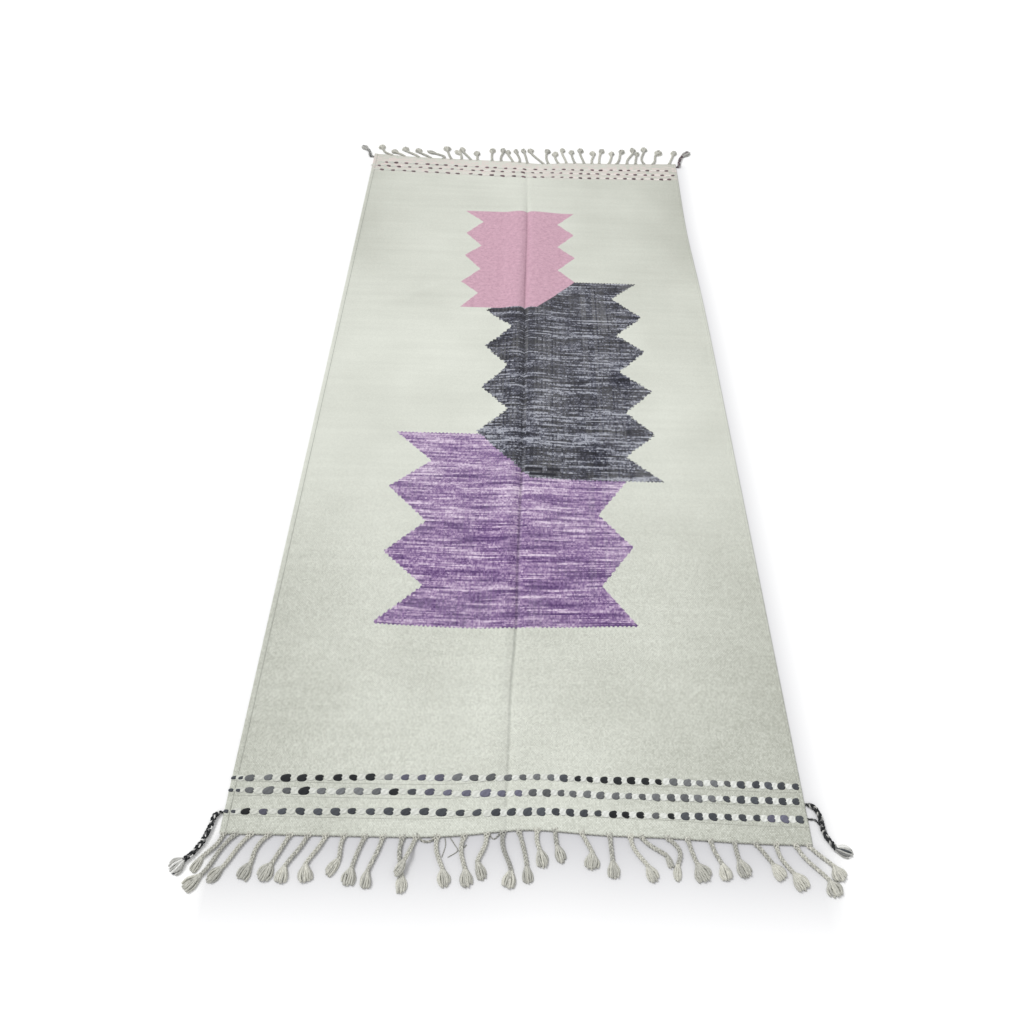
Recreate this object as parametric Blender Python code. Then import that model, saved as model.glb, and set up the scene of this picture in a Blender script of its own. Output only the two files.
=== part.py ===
"""Flat-woven wool rug with tasselled ends, 1.00 x 2.10 m of cloth, lying flat on a floor.

The cloth is a grid given its thickness, then bent to the rug's outline and raised beside its
lengthwise crease. The warp ends of each end are plaited tassels that leave a narrow closing strip.
Metres, +Z up, +Y from the near end (the end with the dark twined rows) to the far end.
"""

import math
from collections import namedtuple

import bmesh
import bpy
from mathutils import Matrix, Vector

CM = 0.01
GAP = 0.0003

# Cloth
HALF_WIDTH = 0.50
HALF_LENGTH = 1.05
CLOTH_THICK = 0.003
LEFT_SELVEDGE = 0.010
RIGHT_SELVEDGE = 0.006
SELVEDGE_RISE = 0.0006

# Outline: the near end is drawn in at two places, the far end is bowed and drawn in once
WAVE_REACH = 0.35
Dip = namedtuple("Dip", "across width depth")
NEAR_DIPS = (Dip(0.045, 0.11, 0.015), Dip(0.24, 0.12, 0.007))
FAR_DIP = Dip(0.04, 0.06, 0.010)
NEAR_SHORT = 0.005
FAR_BOW = 0.015
FAR_LEFT_PULL = 0.005
FAR_LEFT_FROM = 0.35
SIDE_LEAN_LEFT = 0.009
SIDE_LEAN_RIGHT = 0.007
SIDE_IN = 0.003
RIGHT_WAIST = Dip(0.70, 0.25, 0.008)

# Twined rows, as distances from the rug's middle
NEAR_TWINED = (0.957, 0.984, 1.017)
FAR_TWINED = (0.969, 0.991, 1.015)
RIB_WIDTH = 0.009
RIB_RISE = 0.0015

# Crease: a valley that touches the floor between two soft shoulders
Fold = namedtuple("Fold", "along across rise_left rise_right")
CREASE = (
    Fold(-1.05, -0.026, 0.002, 0.005),
    Fold(-0.85, -0.023, 0.003, 0.004),
    Fold(-0.60, -0.012, 0.003, 0.003),
    Fold(-0.15, 0.002, 0.005, 0.005),
    Fold(0.30, 0.010, 0.009, 0.008),
    Fold(0.77, 0.018, 0.009, 0.009),
    Fold(1.05, 0.011, 0.005, 0.005),
)
SHOULDER_AT = 0.026
SHOULDER_END = 0.065
END_FLAT = 0.012
END_FADE = 0.045

# Fringe
STRIP_WIDTH = 0.008
ROOT_DEPTH = 0.004
CORD_WIDTH = 0.0075
CORD_HEIGHT = 0.0060
CORD_STEPS = 4
TUFT_LENGTH = 0.027
LOCK_WIDTH = 0.0085
LOCK_HEIGHT = 0.0075
LOCK_NECK = 0.0030
LOCK_TIP = 0.45
LOCK_BELLY = 0.62
SIDE_LOCK_REACH = 0.91
TUFT_OVERLAP = 0.003
TOP_SHARE = 0.6
OVER_RISE = 0.0075

# One row for each tassel, in centimetres: where it leaves the strip, how far its tip leans to +X,
# how far it reaches out, how far it bows to +X, how far it winds, and the width of its tuft
Tassel = namedtuple("Tassel", "root lean reach bow wind tuft")
NEAR_TASSELS = (
    Tassel(-49.0, -3.8, 6.0, 0.0, 0.4, 1.5),
    Tassel(-47.0, -6.6, 8.6, 0.5, -0.4, 2.2),
    Tassel(-44.5, -5.4, 7.4, 0.2, -0.2, 1.8),
    Tassel(-41.5, -3.4, 7.0, -0.2, -0.4, 2.2),
    Tassel(-38.0, -3.5, 7.0, 0.1, 0.0, 2.4),
    Tassel(-35.0, -3.4, 7.4, -0.5, 0.3, 2.2),
    Tassel(-32.0, -2.2, 7.2, -1.0, 0.4, 2.4),
    Tassel(-29.0, -2.0, 6.2, 0.7, -0.3, 1.7),
    Tassel(-25.5, -2.0, 7.6, -0.3, 0.0, 2.2),
    Tassel(-22.5, -2.2, 8.0, -0.3, 0.2, 2.0),
    Tassel(-19.2, 0.4, 8.6, -0.2, -0.3, 1.8),
    Tassel(-17.0, -2.8, 6.2, 0.2, 0.0, 1.4),
    Tassel(-13.5, 1.8, 7.6, -0.2, -0.3, 2.0),
    Tassel(-9.0, 0.8, 7.8, -0.4, -0.3, 2.1),
    Tassel(-5.2, -0.4, 7.0, -0.9, 0.5, 1.7),
    Tassel(-2.5, 0.8, 8.6, 0.5, -0.5, 2.2),
    Tassel(0.2, 1.6, 8.0, 0.3, 0.0, 1.8),
    Tassel(3.3, 1.0, 5.8, -0.2, -0.2, 2.0),
    Tassel(6.3, 1.2, 5.0, -0.3, 0.0, 1.8),
    Tassel(10.8, 1.4, 5.8, 0.8, -0.2, 2.3),
    Tassel(15.5, 0.4, 6.8, 0.0, 0.0, 1.9),
    Tassel(19.0, 3.6, 7.0, -0.2, -0.4, 2.0),
    Tassel(20.8, 4.8, 4.8, 0.8, -0.6, 1.2),
    Tassel(25.2, 1.0, 6.8, 1.2, 0.6, 1.4),
    Tassel(28.6, 2.4, 6.5, -0.3, 0.0, 2.8),
    Tassel(32.5, 2.2, 6.2, 0.0, -0.2, 2.2),
    Tassel(36.5, 1.4, 5.4, -0.4, 0.0, 2.4),
    Tassel(40.0, 3.8, 5.5, 0.2, 0.0, 2.3),
    Tassel(43.5, 3.6, 7.0, -0.5, -0.3, 2.6),
    Tassel(46.8, 5.4, 7.8, 0.3, -0.5, 2.6),
    Tassel(48.9, 4.6, 5.4, 0.7, -0.3, 2.4),
)
FAR_TASSELS = (
    Tassel(-43.0, -4.4, 6.0, -1.0, -0.4, 2.0),
    Tassel(-39.0, -4.4, 3.6, 0.0, 0.3, 1.8),
    Tassel(-34.2, -5.0, 5.8, -1.0, 0.6, 2.0),
    Tassel(-30.3, -4.8, 5.2, -0.8, 0.3, 2.0),
    Tassel(-26.2, -5.6, 4.4, 1.6, 0.6, 1.4),
    Tassel(-23.6, -2.0, 7.4, -0.2, 0.0, 2.2),
    Tassel(-20.2, -2.6, 5.4, 1.0, -0.2, 1.6),
    Tassel(-17.2, -3.4, 7.4, -0.4, 0.2, 1.8),
    Tassel(-15.0, -0.4, 5.4, 0.0, 0.0, 1.8),
    Tassel(-10.2, 0.2, 7.5, -0.3, 0.0, 1.8),
    Tassel(-7.2, 0.4, 8.0, 0.0, -0.3, 1.6),
    Tassel(-3.4, -1.6, 7.2, -0.5, 0.2, 1.5),
    Tassel(-1.2, -1.4, 8.2, 0.2, 0.2, 1.4),
    Tassel(1.4, -1.6, 9.0, 0.1, 0.0, 1.4),
    Tassel(6.6, -4.4, 9.0, -0.8, 0.2, 1.8),
    Tassel(8.2, 0.2, 8.8, -0.7, 0.0, 1.8),
    Tassel(11.5, -0.7, 6.8, -0.6, 0.0, 1.8),
    Tassel(14.2, -1.0, 9.2, -0.5, 0.2, 1.6),
    Tassel(17.0, -1.0, 8.0, -0.3, 0.0, 1.6),
    Tassel(20.0, -0.6, 9.2, -0.6, 0.2, 1.8),
    Tassel(22.6, 0.4, 7.6, 0.3, -0.3, 1.8),
    Tassel(25.0, 1.6, 9.0, -0.4, 0.0, 1.8),
    Tassel(28.2, 1.4, 7.6, 0.3, 0.0, 1.6),
    Tassel(30.8, 2.6, 8.8, 0.0, 0.2, 1.8),
    Tassel(34.2, 2.4, 10.0, 0.4, -0.5, 1.8),
    Tassel(37.0, 1.4, 7.6, -0.2, 0.0, 1.4),
    Tassel(39.9, 0.8, 10.4, -0.6, -0.4, 1.8),
    Tassel(42.8, 3.4, 8.2, -0.6, 0.4, 2.2),
    Tassel(48.2, 2.8, 8.2, 0.0, 0.0, 1.8),
)
NEAR_OVER = (11,)

# Corner plaits: the side and the Y of the straight rectangle where each leaves the cloth's edge, then
# its route in centimetres to the tuft's neck, its tip, and the width of its tuft
Plait = namedtuple("Plait", "name side leaves route tip tuft")
PLAITS = (
    Plait(
        "corner_plait_near_left",
        -1,
        -1.017,
        ((-51.0, -102.7), (-51.4, -104.6), (-52.0, -106.7), (-53.2, -108.6), (-54.4, -109.8)),
        (-56.2, -111.4),
        2.2,
    ),
    Plait(
        "corner_plait_near_right",
        1,
        -0.984,
        ((51.2, -99.4), (51.8, -100.8), (51.9, -102.4), (52.2, -104.0), (53.4, -106.0)),
        (56.2, -106.7),
        2.2,
    ),
    Plait(
        "corner_plait_far_left",
        -1,
        1.034,
        ((-50.2, 105.8), (-50.4, 107.4), (-51.2, 109.2)),
        (-53.4, 111.8),
        2.2,
    ),
    Plait(
        "corner_plait_far_right",
        1,
        1.034,
        ((51.3, 105.4), (51.6, 107.4), (52.1, 109.3), (53.0, 111.3)),
        (55.8, 114.4),
        2.4,
    ),
)
SIDE_STRAND_LEAVES = -1.008
SIDE_STRAND_ROUTE = ((51.0, -101.4), (51.8, -102.3))
ROOT_RUN = 0.004
PLAIT_WIDTH = 0.0085
PLAIT_LAY = 0.024
PLAIT_STEPS_PER_LAY = 6
PLAIT_WAIST = 0.72
SIDE_STRAND_WIDTH = 0.004

WOOL_ROUGHNESS = 0.9
CREAM = (0.66, 0.67, 0.60, 1.0)
TASSEL_CREAM = (0.55, 0.55, 0.50, 1.0)
CHARCOAL = (0.05, 0.05, 0.06, 1.0)
GREY = (0.42, 0.42, 0.40, 1.0)
PLUM = (0.20, 0.10, 0.14, 1.0)


def bell(distance, width):
    """A soft bump: 1 at distance 0, fading over about the width."""
    return math.exp(-((distance / width) ** 2))


def smooth(share):
    """0 to 1 with level ends."""
    share = min(max(share, 0.0), 1.0)
    return share * share * (3 - 2 * share)


def near_end(x):
    """Y of the near end's outline at this X."""
    drawn_in = sum(dip.depth * bell(x - dip.across, dip.width) for dip in NEAR_DIPS)
    return -HALF_LENGTH - NEAR_SHORT + drawn_in


def far_end(x):
    """Y of the far end's outline at this X."""
    bow = FAR_BOW * (x / HALF_WIDTH) ** 2 - FAR_DIP.depth * bell(x - FAR_DIP.across, FAR_DIP.width)
    return HALF_LENGTH + bow + FAR_LEFT_PULL * smooth((-x - FAR_LEFT_FROM) / (HALF_WIDTH - FAR_LEFT_FROM))


def side_shift(x, y):
    """How far a point of the straight rectangle moves across, to the rug's true sides."""
    share = (y + HALF_LENGTH) / (2 * HALF_LENGTH)
    left = SIDE_IN + SIDE_LEAN_LEFT * share
    waist = RIGHT_WAIST.depth * bell(y - RIGHT_WAIST.across, RIGHT_WAIST.width)
    right = -SIDE_IN + SIDE_LEAN_RIGHT * share - waist
    across = (x + HALF_WIDTH) / (2 * HALF_WIDTH)
    return left * (1 - across) + right * across


def crease_at(y):
    """The crease's place and its shoulders' heights at this Y, read between the rows of CREASE."""
    y = min(max(y, CREASE[0].along), CREASE[-1].along)
    for before, after in zip(CREASE, CREASE[1:]):
        if y <= after.along:
            break
    share = smooth((y - before.along) / (after.along - before.along))
    return Fold(*(a + (b - a) * share for a, b in zip(before, after)))


def shoulder(distance):
    """1 on top of a shoulder, 0 in the valley and past the shoulder's foot."""
    if distance < SHOULDER_AT:
        return smooth(distance / SHOULDER_AT)
    return 1 - smooth((distance - SHOULDER_AT) / (SHOULDER_END - SHOULDER_AT))


def lift(x, y):
    """Height of the cloth's underside over the floor: exactly 0 away from the crease."""
    fold = crease_at(y)
    rise = fold.rise_right if x > fold.across else fold.rise_left
    to_end = min(y - near_end(x), far_end(x) - y)
    return rise * shoulder(abs(x - fold.across)) * smooth((to_end - END_FLAT) / END_FADE)


def bent(x, y):
    """A point of the straight rectangle moved to its place in the rug's true outline."""
    near = smooth((WAVE_REACH - (y + HALF_LENGTH)) / WAVE_REACH)
    far = smooth((WAVE_REACH - (HALF_LENGTH - y)) / WAVE_REACH)
    pull = 1 - smooth((abs(x) - SHOULDER_END) / (HALF_WIDTH - SHOULDER_END))
    new_y = y + near * (near_end(x) + HALF_LENGTH) + far * (far_end(x) - HALF_LENGTH)
    return x + side_shift(x, y) + pull * crease_at(y).across, new_y


def relief(x, y):
    """What the weave raises on top: the twined rows' ribs and the selvedges' beads."""
    rows = [-row for row in NEAR_TWINED] + list(FAR_TWINED)
    rib = max(1 - abs(y - row) / (RIB_WIDTH / 2) for row in rows)
    left = 1 - abs(x + HALF_WIDTH - LEFT_SELVEDGE / 2) / (LEFT_SELVEDGE / 2)
    right = 1 - abs(HALF_WIDTH - x - RIGHT_SELVEDGE / 2) / (RIGHT_SELVEDGE / 2)
    return RIB_RISE * max(rib, 0) + SELVEDGE_RISE * max(left, right, 0)


def cloth_columns():
    """X of the grid's columns: close at the selvedges and the crease, wide between."""
    middle = [0.0, SHOULDER_AT / 2, SHOULDER_AT, (SHOULDER_AT + SHOULDER_END) / 2, SHOULDER_END]
    field = [0.12, 0.19, 0.26, 0.34, 0.42]
    left = [HALF_WIDTH - LEFT_SELVEDGE * share for share in (1.0, 0.5, 0.0)]
    right = [HALF_WIDTH - RIGHT_SELVEDGE * share for share in (1.0, 0.5, 0.0)]
    return sorted([-x for x in middle[1:] + field + left] + middle + field + right)


def cloth_rows():
    """Y of the grid's rows: three for each twined row's rib, and one every 10 cm between."""
    end = HALF_LENGTH - STRIP_WIDTH - GAP
    half = RIB_WIDTH / 2
    near = [-(row + side) for row in NEAR_TWINED for side in (half, 0.0, -half)]
    far = [row + side for row in FAR_TWINED for side in (half, 0.0, -half)]
    field = [step / 10 for step in range(-9, 10)]
    return sorted(near + far + field + [-end, end])


def grid(columns, rows):
    """A flat grid with its lines at the given places."""
    mesh = bmesh.new()
    across, along = len(columns) - 1, len(rows) - 1
    bmesh.ops.create_grid(mesh, x_segments=across, y_segments=along, size=1.0)
    for point in mesh.verts:
        column = round((point.co.x + 1) / 2 * across)
        row = round((point.co.y + 1) / 2 * along)
        point.co = Vector((columns[column], rows[row], 0.0))
    return mesh


def thicken(mesh, rise):
    """Extrudes the whole grid upwards, by the thickness that rise(x, y) gives at each point."""
    made = bmesh.ops.extrude_face_region(mesh, geom=mesh.faces[:], use_keep_orig=True)
    for part in made["geom"]:
        if isinstance(part, bmesh.types.BMVert):
            part.co.z += rise(part.co.x, part.co.y)
    bmesh.ops.recalc_face_normals(mesh, faces=mesh.faces[:])


def finished(mesh, name, material):
    """Turns a bmesh into a smooth-shaded object with its material, in the rug's collection."""
    bmesh.ops.recalc_face_normals(mesh, faces=mesh.faces[:])
    data = bpy.data.meshes.new(name)
    mesh.to_mesh(data)
    mesh.free()
    data.materials.append(material)
    data.shade_smooth()
    data.set_sharp_from_angle(angle=math.radians(40))
    made = bpy.data.objects.new(name, data)
    RUG.objects.link(made)
    made.parent = ORIGIN
    return made


def plain_material(name, colour):
    made = bpy.data.materials.new(name)
    made.use_nodes = True
    shader = made.node_tree.nodes["Principled BSDF"]
    shader.inputs["Base Color"].default_value = colour
    shader.inputs["Roughness"].default_value = WOOL_ROUGHNESS
    shader.inputs["Metallic"].default_value = 0.0
    return made


def woven_cloth(material):
    """The whole cloth up to the closing strips."""
    mesh = grid(cloth_columns(), cloth_rows())
    thicken(mesh, lambda x, y: CLOTH_THICK + relief(x, y))
    for point in mesh.verts:
        x, y = bent(point.co.x, point.co.y)
        point.co = Vector((x, y, point.co.z + lift(x, y)))
    return finished(mesh, "woven_cloth", material)


def strip(end):
    """The closing strip at one end: end is -1 near and 1 far."""
    edges = sorted([end * HALF_LENGTH, end * (HALF_LENGTH - STRIP_WIDTH)])
    mesh = grid(cloth_columns(), edges)
    thicken(mesh, lambda x, y: CLOTH_THICK)
    for point in mesh.verts:
        point.co.x, point.co.y = bent(point.co.x, point.co.y)
    return mesh


def carry(mesh, centres, sections):
    """Carries four- or six-point sections along the centres and closes both ends.

    Each section is a list of (sideways, up) from its centre; sideways is level and square to the path.
    """
    rings = []
    last = len(centres) - 1
    for step, (centre, section) in enumerate(zip(centres, sections)):
        ahead = centres[min(step + 1, last)] - centres[max(step - 1, 0)]
        sideways = Vector((-ahead.y, ahead.x, 0.0)).normalized()
        rings.append([mesh.verts.new(centre + sideways * side + Vector((0, 0, up))) for side, up in section])
    for before, after in zip(rings, rings[1:]):
        for one, two in zip(range(len(before)), list(range(1, len(before))) + [0]):
            mesh.faces.new((before[one], before[two], after[two], after[one]))
    mesh.faces.new(rings[0])
    mesh.faces.new(reversed(rings[-1]))


def resting(width, height):
    """A four-sided section that lies flat on the floor, narrower on top."""
    half = width / 2
    return [(-half, 0.0), (half, 0.0), (half * TOP_SHARE, height), (-half * TOP_SHARE, height)]


def tuft(mesh, neck, tip, width):
    """Three locks fanned from just behind the neck, the outer two a little shorter."""
    ahead = tip - neck
    length = ahead.length
    heading = ahead.normalized()
    spread = math.atan2((width - LOCK_WIDTH) / 2, LOCK_BELLY * length)
    for turn, reach in ((-spread, SIDE_LOCK_REACH), (0.0, 1.0), (spread, SIDE_LOCK_REACH)):
        way = Matrix.Rotation(turn, 3, "Z") @ heading
        behind = neck - heading * TUFT_OVERLAP
        stations = [behind, neck + way * LOCK_BELLY * length, neck + way * reach * length]
        shapes = [
            resting(LOCK_NECK, LOCK_NECK),
            resting(LOCK_WIDTH, LOCK_HEIGHT),
            resting(LOCK_WIDTH * LOCK_TIP, LOCK_HEIGHT * LOCK_TIP),
        ]
        carry(mesh, stations, shapes)


def tassel_points(row, end, over, steps):
    """Centres of one tassel's cord from its root to the neck, and its tip.

    A straight line from root to tip, plus the bow and the winding to the side.
    """
    edge = near_end if end < 0 else far_end
    root = Vector((row.root * CM, edge(row.root * CM), 0.0))
    span = Vector((row.lean * CM, end * row.reach * CM, 0.0))
    neck_share = 1 - TUFT_LENGTH / span.length

    def at(share):
        side = row.bow * math.sin(math.pi * share) + row.wind * math.sin(2 * math.pi * share)
        rise = OVER_RISE * smooth((share - 0.2) / 0.3) if over else 0.0
        return root + span * share + Vector((side * CM, 0.0, rise))

    start = root - Vector((0.0, end * ROOT_DEPTH, 0.0))
    return [start] + [at(neck_share * (step + 1) / steps) for step in range(steps)], at(1.0)


def warp_fringe(name, tassels, end, over_rows, material):
    """A closing strip with its tassels fused into it at their roots."""
    locks = bmesh.new()
    for index, row in enumerate(tassels):
        centres, tip = tassel_points(row, end, index in over_rows, CORD_STEPS)
        carry(locks, centres, [resting(CORD_WIDTH, CORD_HEIGHT)] * len(centres))
        tuft(locks, centres[-1], tip, row.tuft * CM)
    backing = finished(strip(end), name, material)
    join(backing, locks)
    return backing


def join(obj, extra):
    """Adds the shapes of a bmesh to an object by a Boolean union, overlaps between them included."""
    bmesh.ops.recalc_face_normals(extra, faces=extra.faces[:])
    data = bpy.data.meshes.new(obj.name + "_added")
    extra.to_mesh(data)
    extra.free()
    added = bpy.data.objects.new(obj.name + "_added", data)
    HELPERS.objects.link(added)
    added.parent = ORIGIN
    added.hide_render = True
    added.display_type = "WIRE"
    union = obj.modifiers.new("fused strands", "BOOLEAN")
    union.operation = "UNION"
    union.solver = "EXACT"
    union.use_self = True
    union.object = added


def from_edge(side, leaves, route, spacing):
    """Points about spacing apart on a smooth curve that starts square to the cloth's edge, a gap away."""
    outward = Vector((side, 0.0, 0.0))
    root = Vector((*bent(side * HALF_WIDTH, leaves), 0.0)) + outward * GAP
    points = [root, root + outward * ROOT_RUN] + [Vector((x * CM, y * CM, 0.0)) for x, y in route]
    padded = [root - outward * ROOT_RUN] + points + [2 * points[-1] - points[-2]]
    made = []
    for a, b, c, d in zip(padded, padded[1:], padded[2:], padded[3:]):
        count = max(round((c - b).length / spacing), 1)
        for step in range(count):
            t = step / count
            curved = (c - a) * t + (2 * a - 5 * b + 4 * c - d) * t**2 + (3 * b - a - 3 * c + d) * t**3
            made.append(b + curved / 2)
    return made + [points[-1]]


def twisted(turn):
    """A six-point section of two yarns side by side, turned: wide at the yarns, waisted between."""
    half = PLAIT_WIDTH / 2
    section = []
    for corner in range(6):
        angle = turn + corner * math.pi / 3
        reach = half * (1.0 if corner % 3 == 0 else PLAIT_WAIST)
        section.append((reach * math.cos(angle), half + reach * math.sin(angle)))
    return section


def corner_plait(plait, material):
    """A two-yarn twist from the end of a twined row, with its tuft."""
    spacing = PLAIT_LAY / PLAIT_STEPS_PER_LAY
    centres = from_edge(plait.side, plait.leaves, plait.route, spacing)
    mesh = bmesh.new()
    turn = math.pi / PLAIT_STEPS_PER_LAY
    carry(mesh, centres, [twisted(turn * step) for step in range(len(centres))])
    made = finished(mesh, plait.name, material)
    extra = bmesh.new()
    tip = Vector((plait.tip[0] * CM, plait.tip[1] * CM, 0.0))
    tuft(extra, centres[-1], tip, plait.tuft * CM)
    if plait.name.endswith("near_right"):
        strand = from_edge(plait.side, SIDE_STRAND_LEAVES, SIDE_STRAND_ROUTE, SIDE_STRAND_WIDTH)
        carry(extra, strand, [resting(SIDE_STRAND_WIDTH, SIDE_STRAND_WIDTH)] * len(strand))
    join(made, extra)
    return made


def centre_on_origin():
    """Moves the rug's parent so that the middle of the whole rug's box stands on the origin."""
    bpy.context.view_layer.update()
    graph = bpy.context.evaluated_depsgraph_get()
    corners = [
        piece.matrix_world @ Vector(corner)
        for piece in RUG.objects
        if piece.type == "MESH"
        for corner in piece.evaluated_get(graph).bound_box
    ]
    low = [min(corner[axis] for corner in corners) for axis in range(3)]
    high = [max(corner[axis] for corner in corners) for axis in range(3)]
    ORIGIN.location = (-(low[0] + high[0]) / 2, -(low[1] + high[1]) / 2, -low[2])


for old in list(bpy.data.objects):
    bpy.data.objects.remove(old, do_unlink=True)

RUG = bpy.data.collections.new("flat_woven_rug")
HELPERS = bpy.data.collections.new("added_strands")
for collection in (RUG, HELPERS):
    bpy.context.scene.collection.children.link(collection)
ORIGIN = bpy.data.objects.new("rug_origin", None)
RUG.objects.link(ORIGIN)

wool = plain_material("cream wool", CREAM)
warp_yarn = plain_material("natural warp yarn", TASSEL_CREAM)
black_yarn = plain_material("black and white yarn", CHARCOAL)
grey_yarn = plain_material("grey yarn", GREY)
plum_yarn = plain_material("plum yarn", PLUM)

woven_cloth(wool)
warp_fringe("warp_fringe_near", NEAR_TASSELS, -1, NEAR_OVER, warp_yarn)
warp_fringe("warp_fringe_far", FAR_TASSELS, 1, (), warp_yarn)
for plait, yarn in zip(PLAITS, (black_yarn, black_yarn, grey_yarn, plum_yarn)):
    corner_plait(plait, yarn)
centre_on_origin()
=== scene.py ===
# %% [markdown]
# # A flat-woven wool rug with tasselled ends
#
# This notebook dresses a plain model of a rug, about one metre by two, that lies on a floor. The model
# gives every piece its size and place. Here the pieces get their yarn, their weave and their colours.
# All lengths are in metres and Z is up. The rug's near end, with the dark twined rows, is towards -Y.

# %% The frame
import math
from collections import namedtuple

import bpy
import numpy as np
from mathutils import Matrix, Vector


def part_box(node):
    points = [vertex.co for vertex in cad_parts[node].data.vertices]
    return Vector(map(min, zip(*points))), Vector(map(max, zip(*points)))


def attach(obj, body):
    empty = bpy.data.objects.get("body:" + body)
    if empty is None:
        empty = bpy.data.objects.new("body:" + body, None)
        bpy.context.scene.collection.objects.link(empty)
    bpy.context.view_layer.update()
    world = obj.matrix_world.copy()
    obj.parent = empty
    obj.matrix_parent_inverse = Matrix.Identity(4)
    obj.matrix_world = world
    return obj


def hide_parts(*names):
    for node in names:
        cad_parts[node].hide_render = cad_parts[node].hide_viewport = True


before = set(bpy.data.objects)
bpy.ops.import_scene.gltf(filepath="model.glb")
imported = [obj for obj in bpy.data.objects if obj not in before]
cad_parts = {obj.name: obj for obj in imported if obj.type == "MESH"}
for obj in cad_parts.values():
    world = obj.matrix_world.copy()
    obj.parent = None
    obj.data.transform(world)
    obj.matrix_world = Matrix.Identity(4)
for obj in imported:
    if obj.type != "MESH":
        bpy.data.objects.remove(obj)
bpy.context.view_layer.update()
CM = 0.01
MM = 0.001
print("nodes:", sorted(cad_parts))

# %% [markdown]
# ## Soft steps and bumps
#
# Cloth has no hard corners, so nearly every formula below is built from two soft functions. One climbs
# from 0 to 1 with level ends, and the other is a bump that fades on both sides. They work on whole
# numpy arrays, which is what makes a mesh of a hundred thousand points quick to compute.


# %% Soft functions
def smooth(share):
    """3 t^2 - 2 t^3, with t held between 0 and 1."""
    share = np.clip(share, 0.0, 1.0)
    return share * share * (3 - 2 * share)


def bell(distance, width):
    """e to the power of -(distance / width)^2."""
    return np.exp(-((distance / width) ** 2))


# %% [markdown]
# ## The rug's outline
#
# On the loom the cloth is a straight rectangle. On the floor it isn't: the warp ends draw the near end in
# at two places, the far end bows, and the sides lean. The rug is therefore described twice. Straight
# coordinates (u across, v along) say where a thread is on the loom, and `bent` says where that thread
# lies now. Patterns are drawn in the straight coordinates, and every shape is placed through `bent`.

# %% Sizes of the cloth
HALF_WIDTH = 0.50
HALF_LENGTH = 1.05
CLOTH_THICK = 0.003
LEFT_SELVEDGE = 0.010
RIGHT_SELVEDGE = 0.006
STRIP_WIDTH = 0.008
STRIP_GAP = 0.0003

Dip = namedtuple("Dip", "across width depth")
NEAR_DIPS = (Dip(0.045, 0.11, 0.015), Dip(0.24, 0.12, 0.007))
FAR_DIP = Dip(0.04, 0.06, 0.010)
RIGHT_WAIST = Dip(0.70, 0.25, 0.008)
WAVE_REACH = 0.35
NEAR_SHORT = 0.005
FAR_BOW = 0.015
FAR_LEFT_PULL = 0.005
FAR_LEFT_FROM = 0.35
SIDE_LEAN_LEFT = 0.009
SIDE_LEAN_RIGHT = 0.007
SIDE_IN = 0.003

Fold = namedtuple("Fold", "along across rise_left rise_right")
CREASE = (
    Fold(-1.05, -0.021, 0.002, 0.004),
    Fold(-0.85, -0.016, 0.002, 0.003),
    Fold(-0.60, -0.005, 0.003, 0.003),
    Fold(-0.15, 0.004, 0.005, 0.005),
    Fold(0.30, 0.008, 0.008, 0.008),
    Fold(0.72, 0.014, 0.007, 0.007),
    Fold(0.86, 0.014, 0.002, 0.002),
    Fold(1.05, 0.011, 0.002, 0.002),
)
WEFT_BOW = 0.0165
BOW_AT = (-0.10, -0.62)
BOW_SIZE = (0.28, 0.17)
SHOULDER_AT = 0.018
SHOULDER_END = 0.065
END_FLAT = 0.012
END_FADE = 0.045


# %% Outline, crease and bending
def near_end(x):
    """Y of the near end: a straight line drawn in by two bells."""
    drawn_in = sum(dip.depth * bell(x - dip.across, dip.width) for dip in NEAR_DIPS)
    return -HALF_LENGTH - NEAR_SHORT + drawn_in


def far_end(x):
    """Y of the far end: a shallow parabola, less one bell, with the left corner pulled out."""
    bow = FAR_BOW * (x / HALF_WIDTH) ** 2 - FAR_DIP.depth * bell(x - FAR_DIP.across, FAR_DIP.width)
    return HALF_LENGTH + bow + FAR_LEFT_PULL * smooth((-x - FAR_LEFT_FROM) / (HALF_WIDTH - FAR_LEFT_FROM))


def side_shift(x, y):
    """How far a thread moves across: the left and right sides' own shifts, blended over the width."""
    share = (y + HALF_LENGTH) / (2 * HALF_LENGTH)
    left = SIDE_IN + SIDE_LEAN_LEFT * share
    waist = RIGHT_WAIST.depth * bell(y - RIGHT_WAIST.across, RIGHT_WAIST.width)
    right = -SIDE_IN + SIDE_LEAN_RIGHT * share - waist
    across = (x + HALF_WIDTH) / (2 * HALF_WIDTH)
    return left * (1 - across) + right * across


def crease_at(y):
    """The crease's X and its two shoulders' heights at Y, eased between the rows of the table."""
    table = np.array(CREASE)
    y = np.clip(y, table[0, 0], table[-1, 0])
    after = np.clip(np.searchsorted(table[:, 0], y), 1, len(table) - 1)
    before = after - 1
    share = smooth((y - table[before, 0]) / (table[after, 0] - table[before, 0]))
    mixed = table[before] + (table[after] - table[before]) * share[..., None]
    return mixed[..., 1], mixed[..., 2], mixed[..., 3]


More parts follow.
